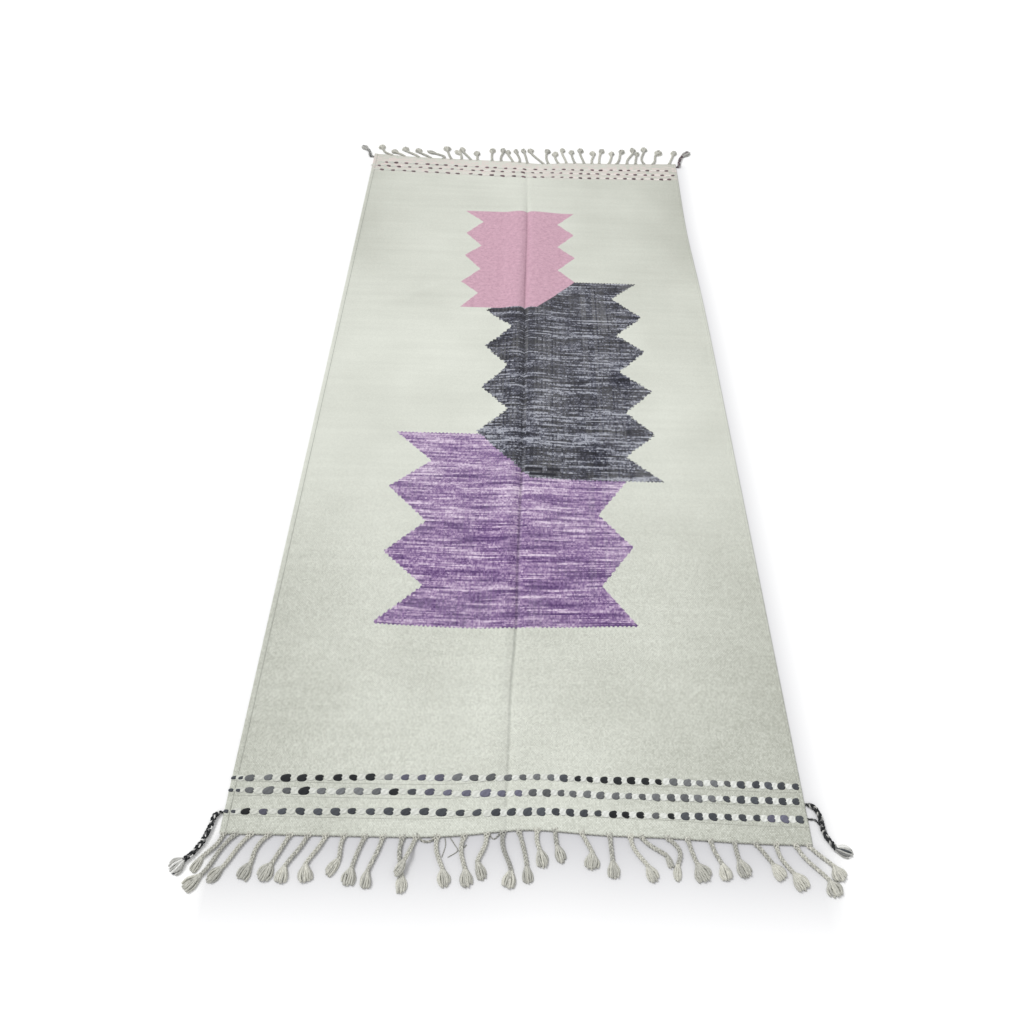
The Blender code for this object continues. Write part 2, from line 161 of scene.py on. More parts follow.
def bent(u, v):
    """Straight loom coordinates to the place on the floor: end waves, side shifts and the crease's drift."""
    u, v = np.broadcast_arrays(np.asarray(u, float), np.asarray(v, float))
    near = smooth((WAVE_REACH - (v + HALF_LENGTH)) / WAVE_REACH)
    far = smooth((WAVE_REACH - (HALF_LENGTH - v)) / WAVE_REACH)
    pull = 1 - smooth((np.abs(u) - SHOULDER_END) / (HALF_WIDTH - SHOULDER_END))
    bow = WEFT_BOW * bell(u - BOW_AT[0], BOW_SIZE[0]) * bell(v - BOW_AT[1], BOW_SIZE[1])
    y = v - bow + near * (near_end(u) + HALF_LENGTH) + far * (far_end(u) - HALF_LENGTH)
    x = u + side_shift(u, v) + pull * crease_at(v)[0]
    return x, y


def unbent(x, y):
    """The inverse of `bent`, found by taking the error away a few times."""
    u, v = np.array(x, float), np.array(y, float)
    for _ in range(6):
        there = bent(u, v)
        u, v = u + (x - there[0]), v + (y - there[1])
    return u, v


low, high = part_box("woven_cloth")
corner_u = np.array([-HALF_WIDTH, HALF_WIDTH])
solid_end = HALF_LENGTH - STRIP_WIDTH - STRIP_GAP
corner_x, corner_y = bent(*np.meshgrid(corner_u, [-solid_end, solid_end]))
SHIFT = np.array([low.x - corner_x.min(), low.y - corner_y.min(), 0.0])
print("the packed rug lies", np.round(SHIFT / MM, 2), "mm from the formulas' centre")

# %% [markdown]
# ## Camera
#
# The photograph looks down at the rug from its near end, a little from the left. The camera's place and
# angles were found once from the rug's four sides, and are kept as real sizes: metres and degrees. A
# focal length of 774 pixels in a picture of 1024 is 27.2 mm on a 36 mm sensor.

# %% Camera
PICTURE = 1024
FOCAL_PIXELS = 774.0
SENSOR = 36.0
CAMERA_AT = np.array([-0.0424, -1.3797, 1.3707])
PITCH, YAW, ROLL = (math.radians(angle) for angle in (53.733, 1.378, 2.629))


def placed(name, data):
    """A new object in the scene, at the origin and unturned."""
    made = bpy.data.objects.new(name, data)
    bpy.context.scene.collection.objects.link(made)
    return made


def camera():
    """Looks along the yaw and down by the pitch, then rolls about its own line of sight."""
    forward = Vector((math.sin(YAW) * math.cos(PITCH), math.cos(YAW) * math.cos(PITCH), -math.sin(PITCH)))
    level = Vector((math.cos(YAW), -math.sin(YAW), 0.0))
    upward = level.cross(forward)
    right = level * math.cos(ROLL) + upward * math.sin(ROLL)
    up = upward * math.cos(ROLL) - level * math.sin(ROLL)
    data = bpy.data.cameras.new("camera")
    data.sensor_width = SENSOR
    data.lens = FOCAL_PIXELS * SENSOR / PICTURE
    made = placed("camera", data)
    turn = Matrix((right, up, -forward)).transposed().to_4x4()
    made.matrix_world = Matrix.Translation(CAMERA_AT + SHIFT) @ turn
    bpy.context.scene.camera = made


camera()

# %% [markdown]
# ## From arrays to a mesh
#
# Every piece below ends as three arrays: points, four-cornered faces, and a UV for each face corner.
# `piece` hands them to Blender in one go. Point attributes carry what a material has to know about
# the yarn there, such as its dye.


# %% Mesh maker
def mark_points(data, name, colours):
    """Keeps a colour at each point of a mesh."""
    kept = data.attributes.new(name, "FLOAT_COLOR", "POINT")
    kept.data.foreach_set("color", colours.astype(np.float32).ravel())


def grid_faces(index):
    """Four-cornered faces of a grid whose points have these numbers."""
    corners = (index[:-1, :-1], index[:-1, 1:], index[1:, 1:], index[1:, :-1])
    return np.stack(corners, -1).reshape(-1, 4)


def piece(name, arrays, material, mark="dye"):
    """A smooth-shaded mesh object, riding on the rug's one body. The mark is a colour kept at each point.

    Yarn that lies on the floor is pressed flat there, so no point is lower than the floor.
    """
    points, faces, uv, marks = arrays
    points = points.reshape(-1, 3) + SHIFT
    points[:, 2] = np.maximum(points[:, 2], 0.0)
    data = bpy.data.meshes.new(name)
    data.vertices.add(len(points))
    data.vertices.foreach_set("co", points.astype(np.float32).ravel())
    data.loops.add(faces.size)
    data.loops.foreach_set("vertex_index", faces.astype(np.int32).ravel())
    data.polygons.add(len(faces))
    data.polygons.foreach_set("loop_start", np.arange(0, faces.size, 4, dtype=np.int32))
    data.polygons.foreach_set("use_smooth", np.ones(len(faces), bool))
    data.update(calc_edges=True)
    data.uv_layers.new(name="UVMap").uv.foreach_set("vector", uv.astype(np.float32).ravel())
    mark_points(data, mark, marks)
    data.materials.append(material)
    made = placed(name, data)
    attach(made, "root")
    print(name, len(points), "points", 2 * len(faces), "triangles")
    return made


def tube_grid(rings, sides):
    """Faces of one closed tube, and for each face corner its ring and its side, counted past the seam."""
    ring, side = np.meshgrid(np.arange(rings - 1), np.arange(sides), indexing="ij")
    ring, side = ring.ravel(), side.ravel()
    corner_ring = np.stack((ring, ring, ring + 1, ring + 1), -1)
    corner_side = np.stack((side, side + 1, side + 1, side), -1)
    step = np.arange(sides // 2 - 1)
    cap = np.stack((step, step + 1, sides - 2 - step, sides - 1 - step), -1)
    corner_ring = np.concatenate((corner_ring, np.zeros_like(cap), np.full_like(cap, rings - 1)))
    corner_side = np.concatenate((corner_side, cap[:, ::-1], cap))
    return corner_ring * sides + corner_side % sides, corner_ring, corner_side


def along_path(paths):
    """For paths of shape (..., rings, 3): the distance run at each ring."""
    steps = np.linalg.norm(np.diff(paths, axis=-2), axis=-1)
    return np.concatenate((np.zeros_like(steps[..., :1]), np.cumsum(steps, axis=-1)), -1)


def frame_of(paths):
    """For each ring of a path: the way ahead, the way to its left on the level, and the way up from both."""
    ahead = np.gradient(paths, axis=-2)
    ahead = ahead / np.linalg.norm(ahead, axis=-1, keepdims=True)
    left = np.stack((-ahead[..., 1], ahead[..., 0], np.zeros_like(ahead[..., 0])), -1)
    left = left / np.maximum(np.linalg.norm(left, axis=-1, keepdims=True), 1e-9)
    return ahead, left, np.cross(ahead, left)


def tubes(paths, radius, sides):
    """A ring of points round each path point: centre + radius (cos a left + sin a up)."""
    _, left, up = frame_of(paths)
    angle = np.arange(sides) * 2 * math.pi / sides
    radius = np.broadcast_to(radius, paths.shape[:-1])[..., None, None]
    spokes = np.cos(angle)[:, None] * left[..., None, :] + np.sin(angle)[:, None] * up[..., None, :]
    return paths[..., None, :] + radius * spokes


def yarn_arrays(paths, radius, sides, dye):
    """Points, faces, UV (distance run, share round) and dye of many tubes of equal ring count."""
    rings = paths.shape[-2]
    flat = paths.reshape(-1, rings, 3)
    radius = np.broadcast_to(radius, paths.shape[:-1]).reshape(-1, rings)
    points = tubes(flat, radius, sides)
    faces, ring, side = tube_grid(rings, sides)
    count = len(flat)
    starts = np.arange(count)[:, None, None] * rings * sides
    uv = np.stack((along_path(flat)[:, ring], np.broadcast_to(side / sides, (count, *side.shape))), -1)
    dye = np.broadcast_to(dye, (*paths.shape[:-2], 4)).reshape(-1, 1, 1, 4)
    dye = np.broadcast_to(dye, (count, rings, sides, 4))
    return points.reshape(-1, 3), (faces[None] + starts).reshape(-1, 4), uv.reshape(-1, 2), dye.reshape(-1, 4)


def joined(*parts):
    """Puts several sets of point, face, UV and dye arrays into one, moving the face numbers along."""
    starts = np.cumsum([0] + [len(part[0]) for part in parts])
    faces = [part[1] + start for part, start in zip(parts, starts)]
    return (
        np.concatenate([part[0] for part in parts]),
        np.concatenate(faces),
        np.concatenate([part[2] for part in parts]),
        np.concatenate([part[3] for part in parts]),
    )


# %% [markdown]
# ## Wool yarn
#
# Wool is matt, with a soft sheen from the fibres that stand off it. A yarn shows the slant of its
# plies, and its dye is never quite even. The material reads the piece's own UV map, which runs along and
# round the yarn, so the slanted plies follow every bend. The dye comes from the points' attribute.


# %% Node helpers
def linear(red, green, blue):
    """An sRGB colour of 0 to 255 as the linear colour that Blender's sockets take."""
    share = np.array([red, green, blue]) / 255
    return (*np.where(share <= 0.04045, share / 12.92, ((share + 0.055) / 1.055) ** 2.4), 1.0)


def feed(tree, sockets, terms):
    """Gives each socket its term: a number, a colour or another node's output."""
    for socket, term in zip(sockets, terms):
        if isinstance(term, bpy.types.NodeSocket):
            tree.links.new(term, socket)
        else:
            socket.default_value = term


def maths(tree, operation, *terms):
    """One Math node. A term is a number or another node's output."""
    made = tree.nodes.new("ShaderNodeMath")
    made.operation = operation
    feed(tree, made.inputs, terms)
    return made.outputs[0]


def plus(tree, one, two):
    """One + two."""
    return maths(tree, "ADD", one, two)


def minus(tree, one, two):
    """One - two."""
    return maths(tree, "SUBTRACT", one, two)


def times(tree, one, two):
    """One * two."""
    return maths(tree, "MULTIPLY", one, two)


def times_plus(tree, value, factor, base):
    """Value * factor + base."""
    return maths(tree, "MULTIPLY_ADD", value, factor, base)


def number_of(tree, value, step):
    """Value / step rounded down: the number of the thread, or group of threads, that a place lies on."""
    return maths(tree, "FLOOR", maths(tree, "DIVIDE", value, step))


def vector(tree, x, y, z=0.0):
    """Three numbers or outputs as one vector."""
    made = tree.nodes.new("ShaderNodeCombineXYZ")
    feed(tree, made.inputs, (x, y, z))
    return made.outputs[0]


def noise(tree, at, scale=1.0, detail=2.0, rough=0.5):
    """Cloudy noise, about 0.5 on average."""
    made = tree.nodes.new("ShaderNodeTexNoise")
    tree.links.new(at, made.inputs["Vector"])
    made.inputs["Scale"].default_value = scale
    made.inputs["Detail"].default_value = detail
    made.inputs["Roughness"].default_value = rough
    return made.outputs["Fac"]


def grain(tree, at):
    """A number from 0 to 1 for each whole-numbered place, unrelated to its neighbours'."""
    made = tree.nodes.new("ShaderNodeTexWhiteNoise")
    made.noise_dimensions = "3D"
    tree.links.new(at, made.inputs["Vector"])
    return made.outputs["Value"]


def ramp(tree, share, stops):
    """A colour ramp through (place, colour) stops."""
    made = tree.nodes.new("ShaderNodeValToRGB")
    elements = made.color_ramp.elements
    while len(elements) < len(stops):
        elements.new(0.5)
    for element, (place, colour) in zip(elements, stops):
        element.position = place
        element.color = colour
    tree.links.new(share, made.inputs["Fac"])
    return made.outputs["Color"]


def mix(tree, share, one, two):
    """One colour laid over another by a share."""
    made = tree.nodes.new("ShaderNodeMix")
    made.data_type = "RGBA"
    feed(tree, (made.inputs[0], made.inputs[6], made.inputs[7]), (share, one, two))
    return made.outputs[2]


def scaled(tree, colour, factor):
    """A colour times a number."""
    made = tree.nodes.new("ShaderNodeVectorMath")
    made.operation = "SCALE"
    tree.links.new(colour, made.inputs[0])
    tree.links.new(factor, made.inputs["Scale"])
    return made.outputs[0]


def channels(tree, colour):
    """The red, green and blue of a colour."""
    made = tree.nodes.new("ShaderNodeSeparateColor")
    tree.links.new(colour, made.inputs[0])
    return tuple(made.outputs)


def attribute(tree, name):
    """The colour that is kept at the mesh's points under that name."""
    made = tree.nodes.new("ShaderNodeAttribute")
    made.attribute_name = name
    return made.outputs["Color"]


def own_uv(tree):
    """The two numbers of the piece's own UV map."""
    place = tree.nodes.new("ShaderNodeUVMap")
    place.uv_map = "UVMap"
    split = tree.nodes.new("ShaderNodeSeparateXYZ")
    tree.links.new(place.outputs["UV"], split.inputs[0])
    return split.outputs[0], split.outputs[1]


def wool(name):
    """A matt Principled material with wool's faint sheen."""
    made = bpy.data.materials.new(name)
    made.use_nodes = True
    shader = made.node_tree.nodes["Principled BSDF"]
    shader.inputs["Roughness"].default_value = 0.95
    shader.inputs["Specular IOR Level"].default_value = 0.15
    shader.inputs["Sheen Weight"].default_value = 0.12
    shader.inputs["Sheen Roughness"].default_value = 0.6
    return made, made.node_tree, shader


def relief(tree, shader, height, distance):
    """A Bump node of that many metres into the shader's normal."""
    made = tree.nodes.new("ShaderNodeBump")
    made.inputs["Distance"].default_value = distance
    made.inputs["Strength"].default_value = 1.0
    tree.links.new(height, made.inputs["Height"])
    tree.links.new(made.outputs["Normal"], shader.inputs["Normal"])


# %% Yarn material
PLY_LAY = 0.007
PLIES = 3
PLY_SHADE = 0.20
DYE_CLOUDS = 260.0
FIBRE_GRAIN = 1400.0
YARN_RELIEF = 0.35 * MM


def yarn_material(name, unevenness):
    """Dye times a soft noise, with painted shade between the plies: sin 2 pi (plies round + distance / lay).
    """
    made, tree, shader = wool(name)
    along, around = own_uv(tree)
    turns = plus(tree, times(tree, around, PLIES), maths(tree, "DIVIDE", along, PLY_LAY))
    ply = times_plus(tree, maths(tree, "SINE", times(tree, turns, 2 * math.pi)), 0.5, 0.5)
    place = tree.nodes.new("ShaderNodeTexCoord").outputs["Object"]
    cloudy = noise(tree, place, DYE_CLOUDS, 3.0, 0.65)
    uneven = times_plus(tree, cloudy, unevenness, 1 - (PLY_SHADE + unevenness) / 2)
    shade = times_plus(tree, ply, PLY_SHADE, uneven)
    tree.links.new(scaled(tree, attribute(tree, "dye"), shade), shader.inputs["Base Color"])
    fibres = noise(tree, place, FIBRE_GRAIN, 2.0, 0.6)
    relief(tree, shader, times_plus(tree, fibres, 0.5, ply), YARN_RELIEF)
    return made


PLAIT_YARN = yarn_material("plaited warp yarn", 0.9)
CORNER_YARN = yarn_material("twined corner yarn", 0.8)
TWINED_WOOL = yarn_material("twined wool", 0.6)

# %% [markdown]
# ## The chart of the blocks
#
# Three saw-toothed blocks are woven into the ground: pink, charcoal and purple. The weaver turns each
# coloured weft back a little earlier or later in every row, so a block is nothing but a left and a right
# edge for each weft. An edge is a zigzag of even runs between an outer and an inner line. Where the blocks
# lie and how many runs they have follows the photo, in whole centimetres from the rug's middle. The teeth
# come from the rule, and seeded noise makes their turns uneven.

# %% Chart
Block = namedtuple("Block", "top bottom left right")
TURN_UNEVEN = 0.6
POINT_UNEVEN = 0.5
chart_random = np.random.default_rng(47)


def zigzag(top, bottom, outer, inner, runs):
    """Corners of an edge as (depth, across) in cm: even runs between two lines, each turn a little off."""
    turn = np.arange(runs + 1)
    between = (turn > 0) & (turn < runs)
    depth = np.linspace(top, bottom, runs + 1)
    depth = depth + between * chart_random.uniform(-TURN_UNEVEN, TURN_UNEVEN, runs + 1)
    across = np.where(turn % 2 == 0, outer, inner)
    across = across + chart_random.uniform(-POINT_UNEVEN, POINT_UNEVEN, runs + 1)
    return tuple(zip(depth.tolist(), across.tolist()))


PINK = Block(76, 31, zigzag(76, 31, -17, -12, 8), zigzag(76, 43, 15, 10, 6) + ((31, 4),))
CHARCOAL = Block(
    43,
    -28,
    ((43, 6),) + zigzag(30, -14, -10, -3, 6) + ((-28, 2),),
    zigzag(43, -28, 32, 25, 10),
)
PURPLE = Block(-15, -65, zigzag(-15, -65, -29, -20, 6), ((-15, 10),) + zigzag(-28, -65, 24, 17, 4))
Dash = namedtuple("Dash", "start stop middle thick")
BLACK_DASHES = (Dash(1, 5, -25.5, 1), Dash(6, 9, -25.5, 1), Dash(2, 8, -27, 1))

WARP = 0.0022
WEFT = 0.0024
print("the chart has", sum(len(b.left) + len(b.right) for b in (PINK, CHARCOAL, PURPLE)), "points")

# %% [markdown]
# ## The cloth's material
#
# The cloth is a plain weave: each weft goes over one warp and under the next. The material therefore
# counts threads. The UV map holds loom coordinates in metres, and dividing by the thread pitch and
# rounding down gives the number of the warp and of the weft. A block's edges are read once for each weft,
# so they come out stepped, as they are on a loom. The alternative, an image of the design, would blur
# close up, while this one stays sharp at any distance.

# %% Colours of the cloth
CREAM_LOW, CREAM_HIGH = linear(174, 176, 165), linear(230, 233, 223)
PINK_LOW, PINK_HIGH = linear(172, 129, 148), linear(229, 189, 205)
CHARCOAL_TONES = (
    (0.0, linear(18, 19, 31)),
    (0.30, linear(45, 46, 60)),
    (0.60, linear(90, 92, 106)),
    (1.0, linear(168, 171, 182)),
)
PURPLE_TONES = (
    (0.0, linear(84, 54, 108)),
    (0.35, linear(128, 98, 146)),
    (0.62, linear(172, 146, 182)),
    (1.0, linear(226, 208, 228)),
)
WARP_CREAM = linear(206, 206, 204)
BLACK_WEFT = linear(34, 34, 42)
FAR_BLUSH = linear(222, 207, 203)
# Grey of the painted shade in the grooves beside the selvedges and the twined rows.
GROOVE_SHADE_GREY = linear(120, 120, 112)
SPECK_BROWN = linear(96, 92, 86)


# %% Edge lines as ramps
def block_mask(tree, u, v, block):
    """1 inside a block. A ramp holds the left edge in red and the right edge in green, for each weft."""
    sides = {}
    for key in ("left", "right"):
        table = np.array(getattr(block, key)) * CM
        across, along = unbent(table[:, 1], table[:, 0])
        order = np.argsort(along)
        sides[key] = along[order], across[order]
    bottom = min(sides["left"][0][0], sides["right"][0][0])
    top = max(sides["left"][0][-1], sides["right"][0][-1])
    places = np.unique(np.concatenate((sides["left"][0], sides["right"][0])))
    stops = [
        ((place - bottom) / (top - bottom), (left + HALF_WIDTH, right + HALF_WIDTH, 0.0, 1.0))
        for place, left, right in zip(
            places, np.interp(places, *sides["left"]), np.interp(places, *sides["right"])
        )
    ]
    share = maths(tree, "DIVIDE", minus(tree, v, bottom), top - bottom)
    left, right, _ = channels(tree, ramp(tree, share, stops))
    place = plus(tree, u, HALF_WIDTH)
    across = times(tree, maths(tree, "GREATER_THAN", place, left), maths(tree, "LESS_THAN", place, right))
    along = times(tree, maths(tree, "GREATER_THAN", share, 0.0), maths(tree, "LESS_THAN", share, 1.0))
    return times(tree, across, along)


def eased(tree, value, start, stop, low=0.0, high=1.0):
    """From low at the start to high at the stop, levelling out at both."""
    made = tree.nodes.new("ShaderNodeMapRange")
    made.interpolation_type = "SMOOTHSTEP"
    for socket, number in zip(("From Min", "From Max", "To Min", "To Max"), (start, stop, low, high)):
        made.inputs[socket].default_value = number
    tree.links.new(value, made.inputs["Value"])
    return made.outputs["Result"]


def line(tree, value, place, half):
    """1 within half a width of a place, softly falling to 0 at the whole width."""
    away = maths(tree, "ABSOLUTE", minus(tree, value, place))
    return eased(tree, away, half * 1.6, half * 0.4)


# %% Counting threads
NEAR_TWINED = (0.960, 0.984, 1.017)
FAR_TWINED = (0.963, 0.986, 1.010)
GROOVE_OFF = 0.0046
Spot = namedtuple("Spot", "u v weft over warp_u weft_v odd patch")


def centred(tree, value):
    """A number from 0 to 1, moved to lie round 0."""
    return minus(tree, value, 0.5)


def group_grain(tree, u, v, warps, wefts, seed):
    """A grain that is shared by so many warps and wefts."""
    place = vector(tree, number_of(tree, u, warps * WARP), number_of(tree, v, wefts * WEFT), seed)
    return grain(tree, place)


def counted(tree):
    """A spot on the cloth: its weft, which thread is over, the middles of both threads, and two grains."""
    u, v = own_uv(tree)
    warp, weft = number_of(tree, u, WARP), number_of(tree, v, WEFT)
    over = maths(tree, "PINGPONG", plus(tree, warp, weft), 1.0)
    warp_u = times(tree, plus(tree, warp, 0.5), WARP)
    weft_v = times(tree, plus(tree, weft, 0.5), WEFT)
    odd = centred(tree, grain(tree, vector(tree, warp, weft)))
    patch = centred(tree, group_grain(tree, u, v, 2, 2, 6.0))
    return Spot(u, v, weft, over, warp_u, weft_v, odd, patch)


# %% Ground
GROUND_CLOUDS = 0.46
GROUND_BANDS = 0.20
FAR_BAND_AT = 1.005
FAR_BAND_HALF = 0.040


def ground_colour(tree, spot):
    """Cream with clouds, faint weft bands and more grain in front; painted shade darkens the ends and
    corners.
    """
    from_middle = maths(tree, "ABSOLUTE", spot.v)
    # Painted shade: the cream darkens towards the corners, both ends and the right side, where less light
    # falls.
    corner = times(tree, eased(tree, from_middle, 0.15, 0.80, 0.3, 1.6), times(tree, spot.u, spot.u))
    tone = times_plus(tree, corner, -0.8, eased(tree, from_middle, 0.20, 0.70, 0.41, 0.335))
    tone = times_plus(tree, spot.u, -0.13, tone)
    tone = times_plus(tree, noise(tree, vector(tree, spot.u, spot.v), 4.0, 2.0), GROUND_CLOUDS, tone)
    bands_at = vector(tree, times(tree, spot.u, 2.2), times(tree, spot.weft_v, 55.0))
    tone = times_plus(tree, noise(tree, bands_at, 1.0, 3.0), GROUND_BANDS, tone)
    crossing = times_plus(tree, spot.odd, 0.32, times(tree, spot.patch, 0.13))
    crossing = times_plus(tree, spot.over, 0.12, crossing)
    coarse = eased(tree, spot.v, -0.15, -0.65, 0.30, 1.0)
    tone = times_plus(tree, minus(tree, crossing, 0.10), coarse, tone)
    ground = ramp(tree, tone, ((0.1, CREAM_LOW), (0.95, CREAM_HIGH)))
    blush = times_plus(tree, group_grain(tree, spot.u, spot.v, 5, 2, 8.0), 1.1, -0.15)
    far_band = line(tree, spot.v, FAR_BAND_AT, FAR_BAND_HALF)
    return mix(tree, times(tree, far_band, maths(tree, "MAXIMUM", blush, 0.0)), ground, FAR_BLUSH)


# %% Dyed wool of the blocks
Streak = namedtuple("Streak", "length wefts seed strength")
STREAKS = (Streak(0.100, 1, 1.0, 1.6), Streak(0.120, 2, 2.0, 1.7), Streak(0.170, 3, 3.0, 0.6))
BROAD_SHARE = 0.5
ODD_SHARE = 0.30
PATCH_SHARE = 0.34
HEATHER_GRAIN = 0.16


def dyeing(tree, spot, streak):
    """Noise that is stretched along the weft and jumps from one group of wefts to the next."""
    group = number_of(tree, spot.v, streak.wefts * WEFT)
    along = times_plus(tree, group, 3.7, maths(tree, "DIVIDE", spot.u, streak.length))
    place = vector(tree, along, times(tree, group, 5.3), streak.seed)
    return centred(tree, noise(tree, place, 1.0, 2.0, 0.6))


def space_dyed(tree, spot):
    """Each weft has its own streaks, groups of wefts share some, and broad bands cross the block."""
    layers = [(dyeing(tree, spot, streak), streak.strength) for streak in STREAKS]
    broad_at = vector(tree, times(tree, spot.u, 3.0), times(tree, spot.weft_v, 17.0), 4.0)
    layers.append((centred(tree, noise(tree, broad_at, 1.0, 2.0, 0.5)), BROAD_SHARE))
    layers += [(spot.odd, ODD_SHARE), (spot.patch, PATCH_SHARE)]
    total = 0.0
    for layer, strength in layers:
        total = times_plus(tree, layer, strength, total)
    return total


def warps_showing(tree, spot):
    """Where the warps show: pale lines along the cloth that come and go."""
    zone = times(tree, minus(tree, noise(tree, vector(tree, spot.u, spot.v, 9.0), 9.0, 1.0), 0.28), 1.8)
    columns = grain(tree, vector(tree, number_of(tree, spot.u, 2 * WARP), 0.0, 5.0))
    columns = times_plus(tree, columns, 0.7, 0.15)
    return times(tree, times_plus(tree, spot.over, 0.6, 0.2), times(tree, zone, columns))


def block_colours(tree, spot):
    """Purple and charcoal are space-dyed and let the warps show, and pink is heathered."""
    streaks = space_dyed(tree, spot)
    showing = warps_showing(tree, spot)
    paler = eased(tree, spot.v, -0.62, -0.18, 0.41, 0.53)
    purple = ramp(tree, plus(tree, streaks, paler), PURPLE_TONES)
    purple = mix(tree, times(tree, showing, 0.45), purple, WARP_CREAM)
    paler = eased(tree, spot.v, 0.35, -0.15, 0.32, 0.46)
    charcoal = ramp(tree, times_plus(tree, streaks, 1.6, paler), CHARCOAL_TONES)
    charcoal = mix(tree, times(tree, showing, 0.60), charcoal, WARP_CREAM)
    heather_at = vector(tree, times(tree, spot.warp_u, 90.0), times(tree, spot.weft_v, 130.0), 2.0)
    heather = times_plus(tree, noise(tree, heather_at), 0.7, 0.15)
    for layer in (spot.odd, spot.patch):
        heather = times_plus(tree, layer, HEATHER_GRAIN, heather)
    return purple, charcoal, ramp(tree, heather, ((0.0, PINK_LOW), (1.0, PINK_HIGH)))


# %% Blocks on the ground
CHARCOAL_JUMP = 0.006


def with_blocks(tree, spot, colour):
    """Purple, then charcoal with its black dashes, then pink, each laid over what is there."""
    purple, charcoal, pink = block_colours(tree, spot)

    # The last weft of a flat edge goes over two warps and under two, which leaves fine teeth
    pairs = maths(tree, "PINGPONG", number_of(tree, spot.u, 2 * WARP), 1.0)
    toothed = plus(tree, spot.weft_v, times(tree, pairs, WEFT))
    colour = mix(tree, block_mask(tree, spot.warp_u, toothed, PURPLE), colour, purple)
    jump = times(tree, centred(tree, grain(tree, vector(tree, 0.0, spot.weft, 7.0))), CHARCOAL_JUMP)
    charcoal_mask = block_mask(tree, plus(tree, spot.warp_u, jump), toothed, CHARCOAL)
    colour = mix(tree, charcoal_mask, colour, charcoal)
    for dash in BLACK_DASHES:
        ends = np.array([dash.start, dash.stop]) * CM
        (start, stop), (middle, _) = unbent(ends, np.array([dash.middle] * 2) * CM)
        after = maths(tree, "GREATER_THAN", spot.u, start)
        long = times(tree, after, maths(tree, "LESS_THAN", spot.u, stop))
        thick = line(tree, spot.v, middle, dash.thick * CM / 2)
        colour = mix(tree, times(tree, long, thick), colour, BLACK_WEFT)
    return mix(tree, block_mask(tree, spot.warp_u, spot.weft_v, PINK), colour, pink)


# %% Marks, and painted shade in the grooves and the crease
SPECKS_PER_METRE = 15.0
SPECK_SIZE = 0.022
SPECK_CHANCE = 0.16


def with_grooves(tree, spot, colour):
    """Painted shade in the grooves beside the selvedges and the near twined rows, uneven and broken along
    them.
    """
    broken = noise(tree, vector(tree, 0.0, times(tree, spot.v, 90.0)), 1.0, 2.0)
    left = times(tree, line(tree, spot.u, -HALF_WIDTH + LEFT_SELVEDGE, 0.7 * MM), 0.55)
    right = times(tree, line(tree, spot.u, HALF_WIDTH - RIGHT_SELVEDGE, 0.5 * MM), 0.25)
    grooves = plus(tree, left, right)
    for row in NEAR_TWINED:
        beside_row = times(tree, line(tree, spot.v, -row - GROOVE_OFF, 0.6 * MM), 0.36)
        grooves = maths(tree, "MAXIMUM", grooves, beside_row)
    groove_shade_share = noise(tree, vector(tree, times(tree, spot.u, 14.0), spot.v, 3.0), 1.0, 2.0)
    groove_shade_share = times_plus(tree, groove_shade_share, 2.0, minus(tree, broken, 0.5))
    return mix(tree, times(tree, grooves, groove_shade_share), colour, GROOVE_SHADE_GREY)


def with_crease(tree, colour):
    """Painted shade in the crease: a fine dark line in its valley, and a soft shade on its left."""
    off, valley_shade_strength, shading = channels(tree, attribute(tree, "fold"))
    painted_valley_shade = times(tree, line(tree, off, -1.0 * MM, 3.0 * MM), valley_shade_strength)
    shaded = times(tree, line(tree, off, -9.0 * MM, 10.0 * MM), shading)
    return scaled(tree, colour, minus(tree, 1.0, maths(tree, "MAXIMUM", painted_valley_shade, shaded)))


def with_specks(tree, spot, colour):
    """A few specks of dark fibre."""
    dots = tree.nodes.new("ShaderNodeTexVoronoi")
    dots.inputs["Scale"].default_value = SPECKS_PER_METRE
    tree.links.new(vector(tree, spot.u, spot.v), dots.inputs["Vector"])
    chance, size, _ = channels(tree, dots.outputs["Color"])
    small = maths(tree, "LESS_THAN", dots.outputs["Distance"], times(tree, size, SPECK_SIZE))
    specks = times(tree, small, maths(tree, "LESS_THAN", chance, SPECK_CHANCE))
    return mix(tree, times(tree, specks, 0.6), colour, SPECK_BROWN)


# %% Cloth material
WEAVE_RELIEF = 0.45 * MM
FUZZ_SHARE = 0.8


def hump(tree, value, pitch):
    """Sin pi t, where t runs from 0 to 1 across each thread."""
    share = maths(tree, "FRACT", maths(tree, "DIVIDE", value, pitch))
    return maths(tree, "SINE", times(tree, share, math.pi))


def cloth_material():
    """Ground, blocks and marks. The relief is rounded along v where the weft is over, else along u."""
    made, tree, shader = wool("woven wool")
    spot = counted(tree)
    colour = with_blocks(tree, spot, ground_colour(tree, spot))
    colour = with_crease(tree, with_grooves(tree, spot, colour))
    tree.links.new(with_specks(tree, spot, colour), shader.inputs["Base Color"])
    weft_hump = times(tree, spot.over, hump(tree, spot.v, WEFT))
    warp_hump = times(tree, minus(tree, 1.0, spot.over), hump(tree, spot.u, WARP))
    fuzz = noise(tree, vector(tree, spot.u, spot.v), 900.0, 2.0)
    height = times_plus(tree, fuzz, FUZZ_SHARE, plus(tree, weft_hump, warp_hump))
    relief(tree, shader, height, WEAVE_RELIEF)
    return made


WOVEN_WOOL = cloth_material()
print("cloth material:", len(WOVEN_WOOL.node_tree.nodes), "nodes")

# %% [markdown]
# ## The cloth
#
# The rug's ground is one sheet about 3 mm thick. It could be a simulated cloth, but it lies flat with a
# few creases that are known by their place, so it is a grid that is given its height by formula. The
# grid is closer where the shape is finer: at the selvedges, the crease and the twined rows. The sheet
# is closed: a top, an underside and a wall round the edge. It runs to the very ends of the rug, over the
# narrow strips that hold the warp ends in the plain model.

